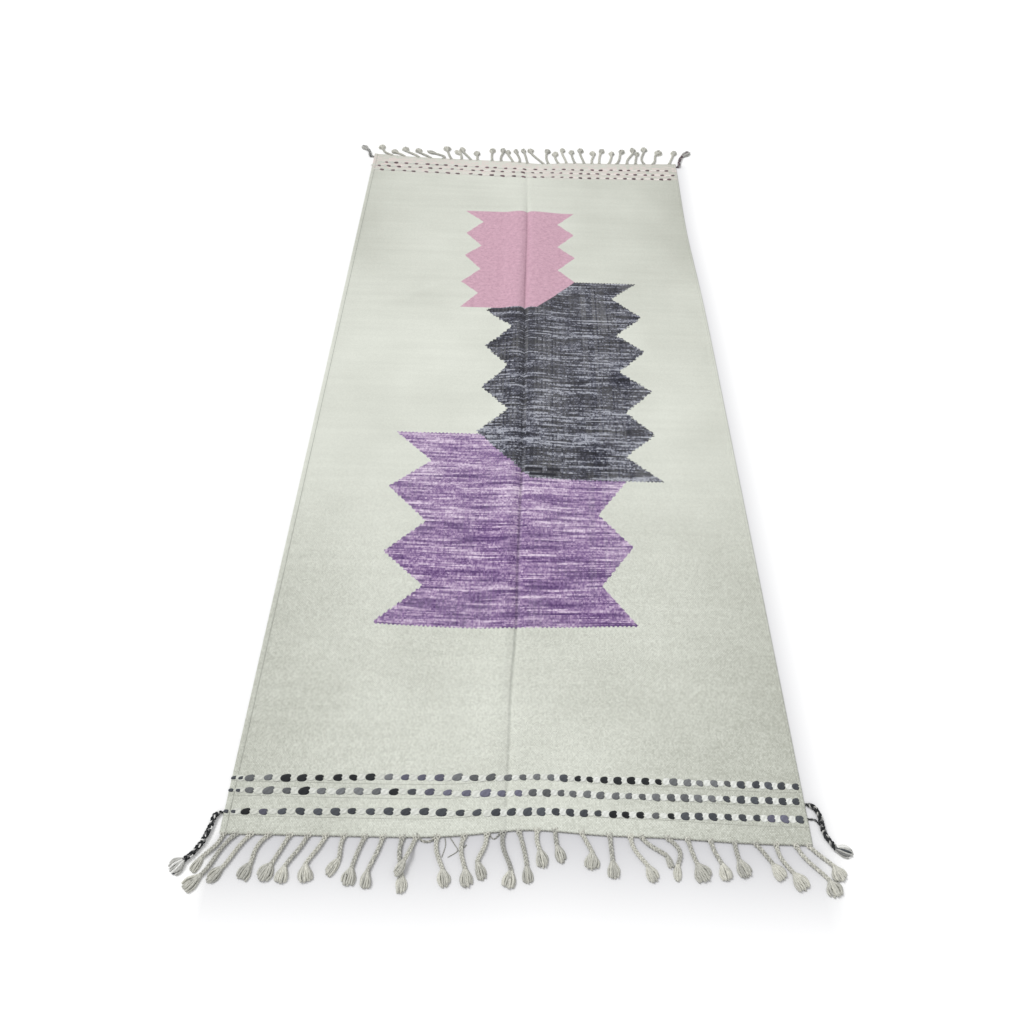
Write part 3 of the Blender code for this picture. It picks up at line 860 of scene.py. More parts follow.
# %% Height of the cloth
Wrinkle = namedtuple("Wrinkle", "start_x start_y stop_x stop_y width rise")
WRINKLES = (
    Wrinkle(-0.34, 0.66, -0.10, 0.58, 0.010, 0.0024),
    Wrinkle(-0.26, 0.52, -0.14, 0.47, 0.008, 0.0018),
    Wrinkle(-0.42, 0.28, -0.18, 0.43, 0.011, 0.0022),
    Wrinkle(-0.34, -0.80, -0.12, -0.62, 0.030, 0.0014),
)
RIB_WIDTH = 0.0105
RIB_RISE = 0.0006
SELVEDGE_RISE = 0.0007
EASE_LEFT, EASE_RIGHT = 0.075, 0.120


def shoulder(distance, ease):
    """1 - (1 - d / s)^2.2 up to the shoulder at s, which is steep in the valley, then an easy slope down."""
    climb = 1 - (1 - np.clip(distance / SHOULDER_AT, 0, 1)) ** 2.2
    return climb * (1 - smooth((distance - SHOULDER_AT) / (ease - SHOULDER_AT)))


def lift(x, y):
    """Height of the underside: the crease's two shoulders and a few low wrinkles, level near the ends."""
    across, rise_left, rise_right = crease_at(y)
    rise = np.where(x > across, rise_right, rise_left)
    to_end = np.minimum(y - near_end(x), far_end(x) - y)
    ease = np.where(x > across, EASE_RIGHT, EASE_LEFT)
    height = rise * shoulder(np.abs(x - across), ease) * smooth((to_end - END_FLAT) / END_FADE)
    for fold in WRINKLES:
        start = np.array([fold.start_x, fold.start_y])
        run = np.array([fold.stop_x, fold.stop_y]) - start
        length = np.hypot(*run)
        share = ((x - start[0]) * run[0] + (y - start[1]) * run[1]) / length**2
        off = ((y - start[1]) * run[0] - (x - start[0]) * run[1]) / length
        height = height + fold.rise * bell(off, fold.width) * np.sin(math.pi * np.clip(share, 0, 1)) ** 1.5
    return height


def weave_rise(u, v):
    """What stands above the plain weave: low ribs under the twined rows and round beads at the selvedges."""
    rows = np.array([-row for row in NEAR_TWINED] + list(FAR_TWINED))
    ribs = bell(v[..., None] - rows, RIB_WIDTH / 2).max(-1)
    left = np.clip(1 - ((u + HALF_WIDTH - LEFT_SELVEDGE / 2) / (LEFT_SELVEDGE / 2)) ** 2, 0, 1)
    right = np.clip(1 - ((HALF_WIDTH - u - RIGHT_SELVEDGE / 2) / (RIGHT_SELVEDGE / 2)) ** 2, 0, 1)
    return RIB_RISE * ribs + SELVEDGE_RISE * np.sqrt(np.maximum(left, right))


def on_cloth(u, v, above=0.0):
    """A point that far above the cloth's top surface, for loom coordinates."""
    x, y = bent(u, v)
    raised = weave_rise(np.broadcast_to(u, x.shape), np.broadcast_to(v, x.shape))
    return np.stack((x, y, lift(x, y) + CLOTH_THICK + raised + above), -1)


# %% Cloth grid
def spaced(stops, steps):
    """Places from stop to stop, with that many equal steps in each stretch."""
    runs = [np.linspace(a, b, n, endpoint=False) for a, b, n in zip(stops, stops[1:], steps)]
    return np.concatenate(runs + [[stops[-1]]])


def sheet_arrays(columns, rows):
    """A closed sheet: the top grid, the same grid lower down as the underside, and a wall round both."""
    u, v = np.meshgrid(columns, rows)
    top = on_cloth(u, v)
    under = top.copy()
    under[..., 2] = lift(top[..., 0], top[..., 1])
    down, across = u.shape
    index = np.arange(down * across).reshape(down, across)
    cells = grid_faces(index)
    rim = np.concatenate((index[0, :-1], index[:-1, -1], index[-1, :0:-1], index[:0:-1, 0]))
    onward = np.roll(rim, -1)
    wall = np.stack((rim + index.size, onward + index.size, onward, rim), -1)
    faces = np.concatenate((cells, cells[:, ::-1] + index.size, wall))
    loom = np.stack((u, v), -1).reshape(-1, 2)
    uv = np.concatenate((loom, loom))[faces]
    # The fold colour keeps what the painted crease shade needs: the distance across from the crease, the
    # strength of its dark line and the strength of its soft shade.
    off = top[..., 0] - crease_at(top[..., 1])[0]
    painted_valley_shade = np.interp(top[..., 1], *CREASE_LINE)
    shade = np.interp(top[..., 1], *CREASE_SHADE)
    fold = np.stack((off, painted_valley_shade, shade, np.ones_like(off)), -1).reshape(-1, 4)
    points = np.concatenate((top.reshape(-1, 3), under.reshape(-1, 3)))
    return points, faces, uv.reshape(-1, 2), np.tile(fold, (2, 1))


# Strengths along the rug of the painted shade in the crease: its dark line, then its soft shade.
CREASE_LINE = (
    (-1.0, -0.7, -0.6, -0.2, 0.2, 0.3, 0.76, 0.80, 1.0),
    (0.12, 0.24, 0.36, 0.28, 0.22, 0.20, 0.10, 0.02, 0.01),
)
CREASE_SHADE = ((-1.0, -0.7, -0.5, 0.2, 0.4, 0.7, 1.0), (0.02, 0.03, 0.08, 0.10, 0.05, 0.02, 0.0))
COLUMNS = spaced((-0.5, -0.49, -0.075, -0.014, 0.008, 0.075, 0.494, 0.5), (5, 44, 18, 22, 20, 44, 4))
ROWS = spaced((-HALF_LENGTH, -0.94, 0.955, HALF_LENGTH), (42, 175, 38))
cloth = piece("woven_cloth_dressed", sheet_arrays(COLUMNS, ROWS), WOVEN_WOOL, "fold")
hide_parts("woven_cloth")

# %% [markdown]
# ## The twined rows
#
# Near each end, three rows are twined and not plainly woven: a dark yarn and a white yarn wrap each
# other round groups of warps, so dark and white floats take turns along the row. Each float is a plump
# lens with a notch at its right end, where the next float dives under it. One lens is computed once and
# then scaled and laid on the cloth a few hundred times, all as one array.

# %% Floats
Run = namedtuple("Run", "stop tone")
BLACK = linear(34, 36, 38)
DARK = linear(70, 73, 78)
MIDDLE = linear(100, 102, 104)
LILAC = linear(92, 92, 106)
MAUVE = linear(108, 90, 94)
WHITE = linear(211, 213, 208)
CREAM_FLOAT = linear(192, 194, 186)
BLUSH = linear(222, 215, 210)
TwinedRow = namedtuple("TwinedRow", "left middle right first pitch_left pitch_right runs")
NEAR_ROWS = (
    TwinedRow(-96.4, -95.2, -95.8, 3.2, 3.15, 2.30, (
        Run(0.085, MIDDLE), Run(0.265, BLACK), Run(0.29, MIDDLE), Run(0.40, LILAC), Run(0.58, MIDDLE),
        Run(0.60, DARK), Run(0.775, BLACK), Run(0.88, MIDDLE), Run(1.0, DARK))),
    TwinedRow(-98.5, -97.9, -98.4, 3.4, 3.30, 2.30, (
        Run(0.12, MIDDLE), Run(0.155, BLACK), Run(0.29, MIDDLE), Run(0.325, BLACK), Run(0.36, DARK),
        Run(0.52, LILAC), Run(0.85, MIDDLE), Run(1.0, DARK))),
    TwinedRow(-102.0, -101.1, -101.4, 3.6, 3.20, 2.35, (
        Run(0.06, BLACK), Run(0.10, LILAC), Run(0.67, DARK), Run(0.725, BLACK), Run(0.75, MIDDLE),
        Run(0.79, BLACK), Run(0.93, DARK), Run(0.965, LILAC), Run(1.0, DARK))),
)
FAR_ROWS = (
    TwinedRow(97.8, 95.8, 97.2, 3.4, 3.45, 3.05, (Run(1.0, MAUVE),)),
    TwinedRow(100.0, 98.3, 99.6, 2.4, 3.25, 3.15, (Run(1.0, MAUVE),)),
    TwinedRow(102.2, 100.3, 102.2, 4.6, 3.15, 3.20, (Run(1.0, MAUVE),)),
)
FLOAT_RINGS = 10
FLOAT_SIDES = 10
FLOAT_RUN = 0.015
DARK_HEIGHT = 0.0021
DARK_POINT = 0.30
PALE_HEIGHT = 0.0005
PALE_SLANT = 0.06
ROW_END = 0.008
TICKS_AT = (0.003, 0.0155)
TICK_LENGTH = 0.0085
TICK_HEIGHT = 0.0016
rng = np.random.default_rng(11)


def lens(point):
    """One float in its own unit box: x from -1 to 1 along, y across, z up.

    Its half width is (1 - x^3)^(1/2), narrowed towards the left by the share `point`. Its right end is
    drawn out at the sides and in at the middle, which makes the notch.
    """
    along = -np.cos(np.linspace(0.05, 0.95, FLOAT_RINGS) * math.pi)
    half = np.sqrt(1 - np.abs(along) ** 3) * (1 - point * (1 - along) / 2)
    angle = np.arange(FLOAT_SIDES) * 2 * math.pi / FLOAT_SIDES
    across = half[:, None] * np.cos(angle)
    upward = half[:, None] * np.sin(angle)
    notch = smooth((along[:, None] + 0.2) / 1.2) * (np.abs(np.cos(angle)) - 0.55) * 0.42
    return np.stack((along[:, None] + notch, across, upward), -1)


def float_arrays(u, v, length, width, height, dye, point, slant=0.16):
    """Lenses laid on the cloth: local x along u, local y along v, and local z above the surface."""
    unit = lens(point)
    turn = rng.uniform(-slant, slant, len(u))[:, None, None]
    along = unit[..., 0] * length[:, None, None] / 2
    across = unit[..., 1] * width[:, None, None] / 2
    raised = unit[..., 2] * height
    points = on_cloth(u[:, None, None] + along, v[:, None, None] + across + turn * along, raised)
    faces, ring, side = tube_grid(FLOAT_RINGS, FLOAT_SIDES)
    starts = np.arange(len(u))[:, None, None] * FLOAT_RINGS * FLOAT_SIDES
    faces = (faces[None] + starts).reshape(-1, 4)
    uv = np.stack((ring / FLOAT_RINGS * FLOAT_RUN, side / FLOAT_SIDES), -1)
    uv = np.broadcast_to(uv, (len(u), *uv.shape))
    dyes = np.broadcast_to(dye[:, None, None], (*points.shape[:-1], 4))
    return points.reshape(-1, 3), faces, uv.reshape(-1, 2), dyes.reshape(-1, 4)


def twined_row(row, lights, fill, wide, uneven):
    """Dark floats from one selvedge to the other, and a broader pale one before each.

    The pitch eases from its left value to its right one at the middle of the row. The number of floats up
    to u is the integral of du / pitch(u), and the floats stand where that number is whole.
    """
    fine = np.linspace(-HALF_WIDTH + row.first * CM, HALF_WIDTH - ROW_END, 400)
    pitch = (row.pitch_left + (row.pitch_right - row.pitch_left) * smooth((fine + 0.1) / 0.2)) * CM
    count = np.concatenate(([0.0], np.cumsum(np.diff(fine) / pitch[:-1])))
    starts = np.interp(np.arange(int(count[-1]) + 1), count, fine)
    starts = starts + rng.uniform(-uneven, uneven, len(starts)) * CM
    step = np.interp(starts, fine, pitch)
    sway = np.interp(starts, (-HALF_WIDTH, 0.0, HALF_WIDTH), np.array([row.left, row.middle, row.right]) * CM)
    v = unbent(starts, sway)[1] + rng.uniform(-uneven / 3, uneven / 3, len(starts)) * CM
    share = (starts + HALF_WIDTH) / (2 * HALF_WIDTH)
    pick = np.searchsorted([run.stop for run in row.runs], share).clip(0, len(row.runs) - 1)
    dark = np.array([run.tone for run in row.runs])[pick]
    dark[:, :3] *= rng.uniform(0.72, 1.35, (len(dark), 1))
    size = rng.uniform(0.80, 1.10, len(starts))
    first, last = (np.array(light) for light in lights)
    turned = np.clip(share[:, None] * 1.5 + rng.uniform(-0.5, 0.3, (len(share), 1)), 0, 1)
    pale = first + (last - first) * turned
    darks = float_arrays(starts, v, fill * step * size, wide * size, DARK_HEIGHT, dark, DARK_POINT)
    pale_length = step * (1 - 0.82 * fill)
    pale_width = 0.84 * wide * size
    middles = starts - step / 2
    pales = float_arrays(middles, v, pale_length, pale_width, PALE_HEIGHT, pale, 0.0, PALE_SLANT)
    return joined(darks, pales)


def selvedge_ticks(rows):
    """Two short dark floats for each near row where its yarns pass the left selvedge."""
    v = np.repeat([unbent(-HALF_WIDTH, row.left * CM)[1] for row in rows], 2)
    u = np.tile([-HALF_WIDTH + place for place in TICKS_AT], len(rows))
    small = np.full(len(u), TICK_LENGTH)
    return float_arrays(u, v, small, 0.8 * small, TICK_HEIGHT, np.tile(DARK, (len(u), 1)), 0.2)


near_rows = [twined_row(row, (CREAM_FLOAT, WHITE), 0.57, 0.0150, 0.18) for row in NEAR_ROWS]
far_rows = [twined_row(row, (CREAM_FLOAT, BLUSH), 0.40, 0.0098, 0.40) for row in FAR_ROWS]
near_floats = piece("twined_rows_near", joined(*near_rows, selvedge_ticks(NEAR_ROWS)), TWINED_WOOL)
far_floats = piece("twined_rows_far", joined(*far_rows), TWINED_WOOL)

# %% [markdown]
# ## Tassels
#
# The warps run out of the cloth in groups. Each group is plaited for a few centimetres, and then the yarn
# ends are left free as a tuft. One row of a table describes each tassel: where it leaves, where its tip
# lies, how it bows and winds. A plait of three strands has a simple formula. Each strand swings from
# side to side, and rises and dips twice for each swing, a third of a turn behind the one before.

# %% Tassel tables
Tassel = namedtuple("Tassel", "root lean reach bow wind tuft")
NEAR_TASSELS = (
    Tassel(-49.0, -3.8, 6.0, 0.0, 0.4, 1.5),
    Tassel(-47.0, -6.6, 8.6, 0.5, -0.4, 2.2),
    Tassel(-44.5, -5.4, 7.4, 0.2, -0.2, 1.8),
    Tassel(-41.5, -3.4, 7.0, -0.2, -0.4, 2.2),
    Tassel(-38.0, -3.5, 7.0, 0.1, 0.0, 2.4),
    Tassel(-35.0, -3.4, 7.4, -0.5, 0.3, 2.2),
    Tassel(-32.0, -2.2, 7.2, -1.0, 0.4, 2.4),
    Tassel(-29.0, -2.0, 6.2, 0.7, -0.3, 1.7),
    Tassel(-25.5, -2.0, 7.6, -0.3, 0.0, 2.2),
    Tassel(-22.5, -2.2, 8.0, -0.3, 0.2, 2.0),
    Tassel(-19.2, 0.4, 8.6, -0.2, -0.3, 1.8),
    Tassel(-17.0, -2.8, 6.2, 0.2, 0.0, 1.4),
    Tassel(-13.5, 1.8, 7.6, -0.2, -0.3, 2.0),
    Tassel(-9.0, 0.8, 7.8, -0.4, -0.3, 2.1),
    Tassel(-5.2, -0.4, 7.0, -0.9, 0.5, 1.7),
    Tassel(-2.5, 0.8, 8.6, 0.5, -0.5, 2.2),
    Tassel(0.2, 1.6, 8.0, 0.3, 0.0, 1.8),
    Tassel(3.3, 1.0, 5.8, -0.2, -0.2, 2.0),
    Tassel(6.3, 1.2, 5.0, -0.3, 0.0, 1.8),
    Tassel(10.8, 1.4, 5.8, 0.8, -0.2, 2.3),
    Tassel(15.5, 0.4, 6.8, 0.0, 0.0, 1.9),
    Tassel(19.0, 3.6, 7.0, -0.2, -0.4, 2.0),
    Tassel(20.8, 4.8, 4.8, 0.8, -0.6, 1.2),
    Tassel(25.2, 1.0, 6.8, 1.2, 0.6, 1.4),
    Tassel(28.6, 2.4, 6.5, -0.3, 0.0, 2.8),
    Tassel(32.5, 2.2, 6.2, 0.0, -0.2, 2.2),
    Tassel(36.5, 1.4, 5.4, -0.4, 0.0, 2.4),
    Tassel(40.0, 3.8, 5.5, 0.2, 0.0, 2.3),
    Tassel(43.5, 3.6, 7.0, -0.5, -0.3, 2.6),
    Tassel(46.8, 5.4, 7.8, 0.3, -0.5, 2.6),
    Tassel(48.9, 4.6, 5.4, 0.7, -0.3, 2.4),
)
FAR_TASSELS = (
    Tassel(-43.0, -4.4, 6.0, -1.0, -0.4, 2.0),
    Tassel(-39.0, -4.4, 3.6, 0.0, 0.3, 1.8),
    Tassel(-34.2, -5.0, 5.8, -1.0, 0.6, 2.0),
    Tassel(-30.3, -4.8, 5.2, -0.8, 0.3, 2.0),
    Tassel(-26.2, -5.6, 4.4, 1.6, 0.6, 1.4),
    Tassel(-23.6, -2.0, 7.4, -0.2, 0.0, 2.2),
    Tassel(-20.2, -2.6, 5.4, 1.0, -0.2, 1.6),
    Tassel(-17.2, -3.4, 7.4, -0.4, 0.2, 1.8),
    Tassel(-15.0, -0.4, 5.4, 0.0, 0.0, 1.8),
    Tassel(-10.2, 0.2, 7.5, -0.3, 0.0, 1.8),
    Tassel(-7.2, 0.4, 8.0, 0.0, -0.3, 1.6),
    Tassel(-3.4, -1.6, 7.2, -0.5, 0.2, 1.5),
    Tassel(-1.2, -1.4, 8.2, 0.2, 0.2, 1.4),
    Tassel(1.4, -1.6, 9.0, 0.1, 0.0, 1.4),
    Tassel(6.6, -4.4, 9.0, -0.8, 0.2, 1.8),
    Tassel(8.2, 0.2, 8.8, -0.7, 0.0, 1.8),
    Tassel(11.5, -0.7, 6.8, -0.6, 0.0, 1.8),
    Tassel(14.2, -1.0, 9.2, -0.5, 0.2, 1.6),
    Tassel(17.0, -1.0, 8.0, -0.3, 0.0, 1.6),
    Tassel(20.0, -0.6, 9.2, -0.6, 0.2, 1.8),
    Tassel(22.6, 0.4, 7.6, 0.3, -0.3, 1.8),
    Tassel(25.0, 1.6, 9.0, -0.4, 0.0, 1.8),
    Tassel(28.2, 1.4, 7.6, 0.3, 0.0, 1.6),
    Tassel(30.8, 2.6, 8.8, 0.0, 0.2, 1.8),
    Tassel(34.2, 2.4, 10.0, 0.4, -0.5, 1.8),
    Tassel(37.0, 1.4, 7.6, -0.2, 0.0, 1.4),
    Tassel(39.9, 0.8, 10.4, -0.6, -0.4, 1.8),
    Tassel(42.8, 3.4, 8.2, -0.6, 0.4, 2.2),
    Tassel(48.2, 2.8, 8.2, 0.0, 0.0, 1.8),
)
NEAR_OVER = (11,)
ROOT_DEPTH = 0.004
CORD_WIDTH = 0.0078
CORD_HEIGHT = 0.0060
TUFT_LENGTH = 0.027
OVER_RISE = 0.0075
TASSEL_CREAM = np.array(linear(200, 199, 189))
TASSEL_GREY = np.array(linear(158, 158, 152))


# %% Tassel paths
CORD_RINGS = 44
ROOT_SHARE = 0.07
ROOT_HEIGHT = 0.0025


def cord_centres(rows, end, over):
    """Centre lines from the strip to each tuft's neck, and the tips: a straight line, a bow and a winding."""
    root_x, lean, reach, bow, wind = (np.array([row[i] for row in rows])[:, None] * CM for i in range(5))
    edge = near_end(root_x) if end < 0 else far_end(root_x)
    length = np.hypot(lean, reach)
    t = np.linspace(0.0, 1.0, CORD_RINGS)
    share = (1 - TUFT_LENGTH / length) * np.clip((t - ROOT_SHARE) / (1 - ROOT_SHARE), 0, 1)
    inside = ROOT_DEPTH * np.clip(1 - t / ROOT_SHARE, 0, 1)
    side = bow * np.sin(math.pi * share) + wind * np.sin(2 * math.pi * share)
    x = root_x + lean * share + side
    y = edge + end * reach * share - end * inside
    lying = ROOT_HEIGHT + (CORD_HEIGHT / 2 - ROOT_HEIGHT) * smooth(t / 0.25)
    rise = OVER_RISE * smooth((share - 0.2) / 0.3) * np.isin(np.arange(len(rows)), over)[:, None]
    centres = np.stack((x, y, lying + rise), -1)
    tips = np.concatenate((root_x + lean, edge + end * reach, rise[:, -1:]), -1)
    return centres, tips


# %% [markdown]
# ## Plait and tuft
#
# The plait's three strands start side by side in the cloth's edge, as the warps do, and close up within
# a centimetre. Each tuft is twelve thick yarn ends in two layers. They leave the neck together, belly out
# and come back a little at the tip, so the tuft has the shape of a bulb, as in the photograph.

# %% Plait and tuft arrays
PLAIT_PITCH = 0.0160
STRAND_RADIUS = 0.0016
SWING = CORD_WIDTH / 2 - STRAND_RADIUS
DIP_HEIGHT = 0.0014
ROOT_SPREAD = 0.0056
TUFT_RINGS = 12
UNDER_ENDS = 7
UPPER_ENDS = 5
NECK_HALF = 0.0019
END_WANDER = 0.0011
END_RADIUS = (0.0013, 0.0022)
TUFT_OVERLAP = 0.003
SPAN_STEPS = 30


def plait_paths(centres):
    """Three strands: sideways A sin(a), upward B sin(2a), where a is 2 pi distance / pitch plus a third."""
    run = along_path(centres)
    _, left, up = frame_of(centres)
    angle = 2 * math.pi * (run / PLAIT_PITCH)[:, None] + np.arange(3)[None, :, None] * 2 * math.pi / 3
    t = np.linspace(0.0, 1.0, centres.shape[-2])
    spread = SWING + (ROOT_SPREAD - SWING) * (1 - smooth(t / 0.22))
    level = smooth(t / 0.15)
    sideways = (spread * np.sin(angle))[..., None] * left[:, None]
    upward = (DIP_HEIGHT * level * np.sin(2 * angle))[..., None] * up[:, None]
    return centres[:, None] + sideways + upward


def tuft_paths(necks, tips, widths, neck_height, closing):
    """Yarn ends fanned from a neck to a tip: sideways q W g(t), where g grows, levels and closes a little.

    The ends are blunt: over the last tenth the radius follows a quarter circle.
    """
    ahead = tips - necks
    ahead[:, 2] = 0.0
    length = np.linalg.norm(ahead, axis=-1)[:, None, None]
    ahead = (ahead / np.linalg.norm(ahead, axis=-1, keepdims=True))[:, None, None]
    left = np.stack((-ahead[..., 1], ahead[..., 0], np.zeros_like(ahead[..., 0])), -1)
    ends = UNDER_ENDS + UPPER_ENDS
    q = np.concatenate((np.linspace(-1, 1, UNDER_ENDS), np.linspace(-0.74, 0.74, UPPER_ENDS)))
    upper = np.concatenate((np.zeros(UNDER_ENDS), np.ones(UPPER_ENDS)))[None, :, None]
    q = q + rng.uniform(-0.10, 0.10, (len(necks), ends))
    reach = 1.03 - (0.08 + 0.4 * closing) * q**2 + rng.uniform(-0.12, 0.04, q.shape)
    q, reach = q[..., None], reach[..., None]
    radius = np.clip(widths / 11.5, *END_RADIUS)[:, None, None]
    t = np.sin(np.linspace(0.0, 1.0, TUFT_RINGS) * math.pi / 2)
    fan = smooth(t / 0.70) * (1 - closing * smooth((t - 0.7) / 0.3))
    amount = rng.uniform(-END_WANDER, END_WANDER, q.shape)
    wander = amount * np.sin(2 * math.pi * t * 0.8 + rng.uniform(0, 6.28, q.shape))
    half = NECK_HALF + (widths[:, None, None] / 2 - radius - NECK_HALF) * fan
    sideways = q * half + wander * smooth(t / 0.4)
    forward = -TUFT_OVERLAP + (length * reach + TUFT_OVERLAP) * t
    settle = 1 - smooth(t / 0.4)
    floor = necks[:, 2][:, None, None] - neck_height
    belly = upper * 1.6 * radius * smooth(t / 0.35) * (1 - 0.5 * smooth((t - 0.6) / 0.4))
    blunt = np.sqrt(1 - 0.85 * np.clip((t - 0.9) / 0.1, 0, 1) ** 2)
    taper = (0.70 + 0.30 * smooth(t / 0.35)) * blunt
    z = floor + radius * np.maximum(taper, 0.6) + (neck_height - radius) * settle + belly
    level_necks = necks[:, None, None] * np.array([1.0, 1.0, 0.0])
    paths = level_necks + ahead * forward[..., None] + left * sideways[..., None]
    paths[..., 2] = np.broadcast_to(z, paths.shape[:-1])
    return paths, radius * taper


def tassel_dye(count, ends):
    """Cream to grey, a little different for each tassel and each strand."""
    whole = rng.uniform(0.0, 0.5, (count, 1, 1))
    each = np.clip(whole + rng.uniform(-0.3, 0.5, (count, ends, 1)), 0, 1)
    return TASSEL_CREAM + (TASSEL_GREY - TASSEL_CREAM) * each


def tassels(rows, end, over, fuller, closing):
    """All the plaits and tufts of one end of the rug."""
    centres, tips = cord_centres(rows, end, over)
    strands = plait_paths(centres)
    thin_root = STRAND_RADIUS * (0.75 + 0.25 * smooth(np.linspace(0, 1, CORD_RINGS) / 0.15))
    widths = np.array([row.tuft for row in rows]) * CM * fuller
    ends, radius = tuft_paths(centres[:, -1].copy(), tips, widths, CORD_HEIGHT / 2, closing)
    return joined(
        yarn_arrays(strands, thin_root, 6, tassel_dye(len(rows), 3)),
        yarn_arrays(ends, radius, 6, tassel_dye(len(rows), UNDER_ENDS + UPPER_ENDS)),
    )


near_tassels = piece("tassels_near", tassels(NEAR_TASSELS, -1, NEAR_OVER, 1.06, 0.10), PLAIT_YARN)
far_tassels = piece("tassels_far", tassels(FAR_TASSELS, 1, (), 1.25, 0.35), PLAIT_YARN)
for made, node in ((near_tassels, "warp_fringe_near"), (far_tassels, "warp_fringe_far")):
    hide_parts(node)

# %% [markdown]
# ## Corner plaits
#
# The yarns of a twined row don't end in the cloth. They leave it at the corner, are plaited in three
# strands like a tassel, and end in a tuft. Each strand is two yarns of different colours, twisted
# together, and that gives the cord its black and white flecks. So the plait's formula is used first, and
# then a helix of two yarns is wound round each of the three paths.

# %% Corner plaits
Plait = namedtuple("Plait", "name side leaves route tip tuft yarns ends")
SMOKE = linear(120, 120, 120)
SILVER = linear(176, 176, 172)
PLUM = linear(96, 66, 78)
CHALK = linear(222, 222, 219)
PLAITS = (
    Plait(
        "corner_plait_near_left",
        -1,
        -1.017,
        ((-51.0, -102.7), (-51.4, -104.6), (-52.0, -106.7), (-53.2, -108.6), (-54.4, -109.8)),
        (-56.2, -111.4),
        2.8,
        (BLACK, CHALK, BLACK, BLACK, BLACK, SMOKE),
        (SILVER, CHALK, SILVER, CHALK, SILVER, DARK, SILVER),
    ),
    Plait(
        "corner_plait_near_right",
        1,
        -0.984,
        ((51.2, -99.4), (51.8, -100.8), (51.9, -102.4), (52.2, -104.0), (53.4, -106.0)),
        (56.2, -106.7),
        2.2,
        (BLACK, SILVER, BLACK, BLACK, BLACK, SMOKE),
        (SILVER, CHALK, SMOKE, SILVER, DARK),
    ),
    Plait(
        "corner_plait_far_left",
        -1,
        1.034,
        ((-50.2, 105.8), (-50.4, 107.4), (-51.2, 109.2)),
        (-53.4, 111.8),
        2.2,
        (SMOKE, SILVER, SMOKE, SILVER, DARK, SILVER),
        (SILVER, SMOKE, SILVER, SILVER),
    ),
    Plait(
        "corner_plait_far_right",
        1,
        1.034,
        ((51.3, 105.4), (51.6, 107.4), (52.1, 109.3), (53.0, 111.3)),
        (55.8, 114.4),
        2.4,
        (PLUM, SILVER, PLUM, DARK, PLUM, SMOKE),
        (SILVER, PLUM, SMOKE, SILVER),
    ),
)
SIDE_STRAND_LEAVES = -1.008
SIDE_STRAND_ROUTE = ((51.0, -101.4), (51.8, -102.3))
ROOT_RUN = 0.004
PLAIT_WIDTH = 0.0100
PAIR_TURN = 0.013
PAIR_RADIUS = 0.00115
GAP = 0.0003
SETTLE_RUN = 0.012
PLAIT_RINGS = 90
SIDE_STRAND_HEIGHT = 0.0020
SIDE_STRAND_REACH = 0.0009
SIDE_STRAND_RADIUS = 0.0010


def smooth_curve(points, rings):
    """Even steps along a Catmull-Rom curve: each span is a cubic that passes through both its ends."""
    padded = np.concatenate(([2 * points[0] - points[1]], points, [2 * points[-1] - points[-2]]))
    t = np.linspace(0, 1, SPAN_STEPS, endpoint=False)[:, None]
    spans = []
    for a, b, c, d in zip(padded, padded[1:], padded[2:], padded[3:]):
        square, cube = 2 * a - 5 * b + 4 * c - d, 3 * b - a - 3 * c + d
        spans.append(b + ((c - a) * t + square * t**2 + cube * t**3) / 2)
    curve = np.concatenate(spans + [points[-1:]])
    run = along_path(curve)
    even = np.linspace(0, run[-1], rings)
    return np.stack([np.interp(even, run, curve[:, axis]) for axis in range(3)], -1)


def from_edge(side, leaves, route, rings, height):
    """A route that starts square to the cloth's edge, at mid-thickness, and settles on the floor."""
    root = np.array([*bent(side * HALF_WIDTH, leaves), 0.0]) + [side * GAP, 0.0, 0.0]
    points = np.array([root, root + [side * ROOT_RUN, 0, 0]] + [[x * CM, y * CM, 0.0] for x, y in route])
    curve = smooth_curve(points, rings)
    run = along_path(curve)
    curve[:, 2] = CLOTH_THICK / 2 + (height - CLOTH_THICK / 2) * smooth(run / SETTLE_RUN)
    return curve


def twisted(paths, reach, turn, count):
    """Yarns wound round each path: centre + R (cos a left + sin a up), a = 2 pi distance / turn + share."""
    run = along_path(paths)[..., None, :]
    _, left, up = frame_of(paths)
    angle = 2 * math.pi * (run / turn + np.arange(count)[:, None] / count)
    sideways = (reach * np.cos(angle))[..., None] * left[..., None, :, :]
    upward = (reach * np.sin(angle))[..., None] * up[..., None, :, :]
    return paths[..., None, :, :] + sideways + upward


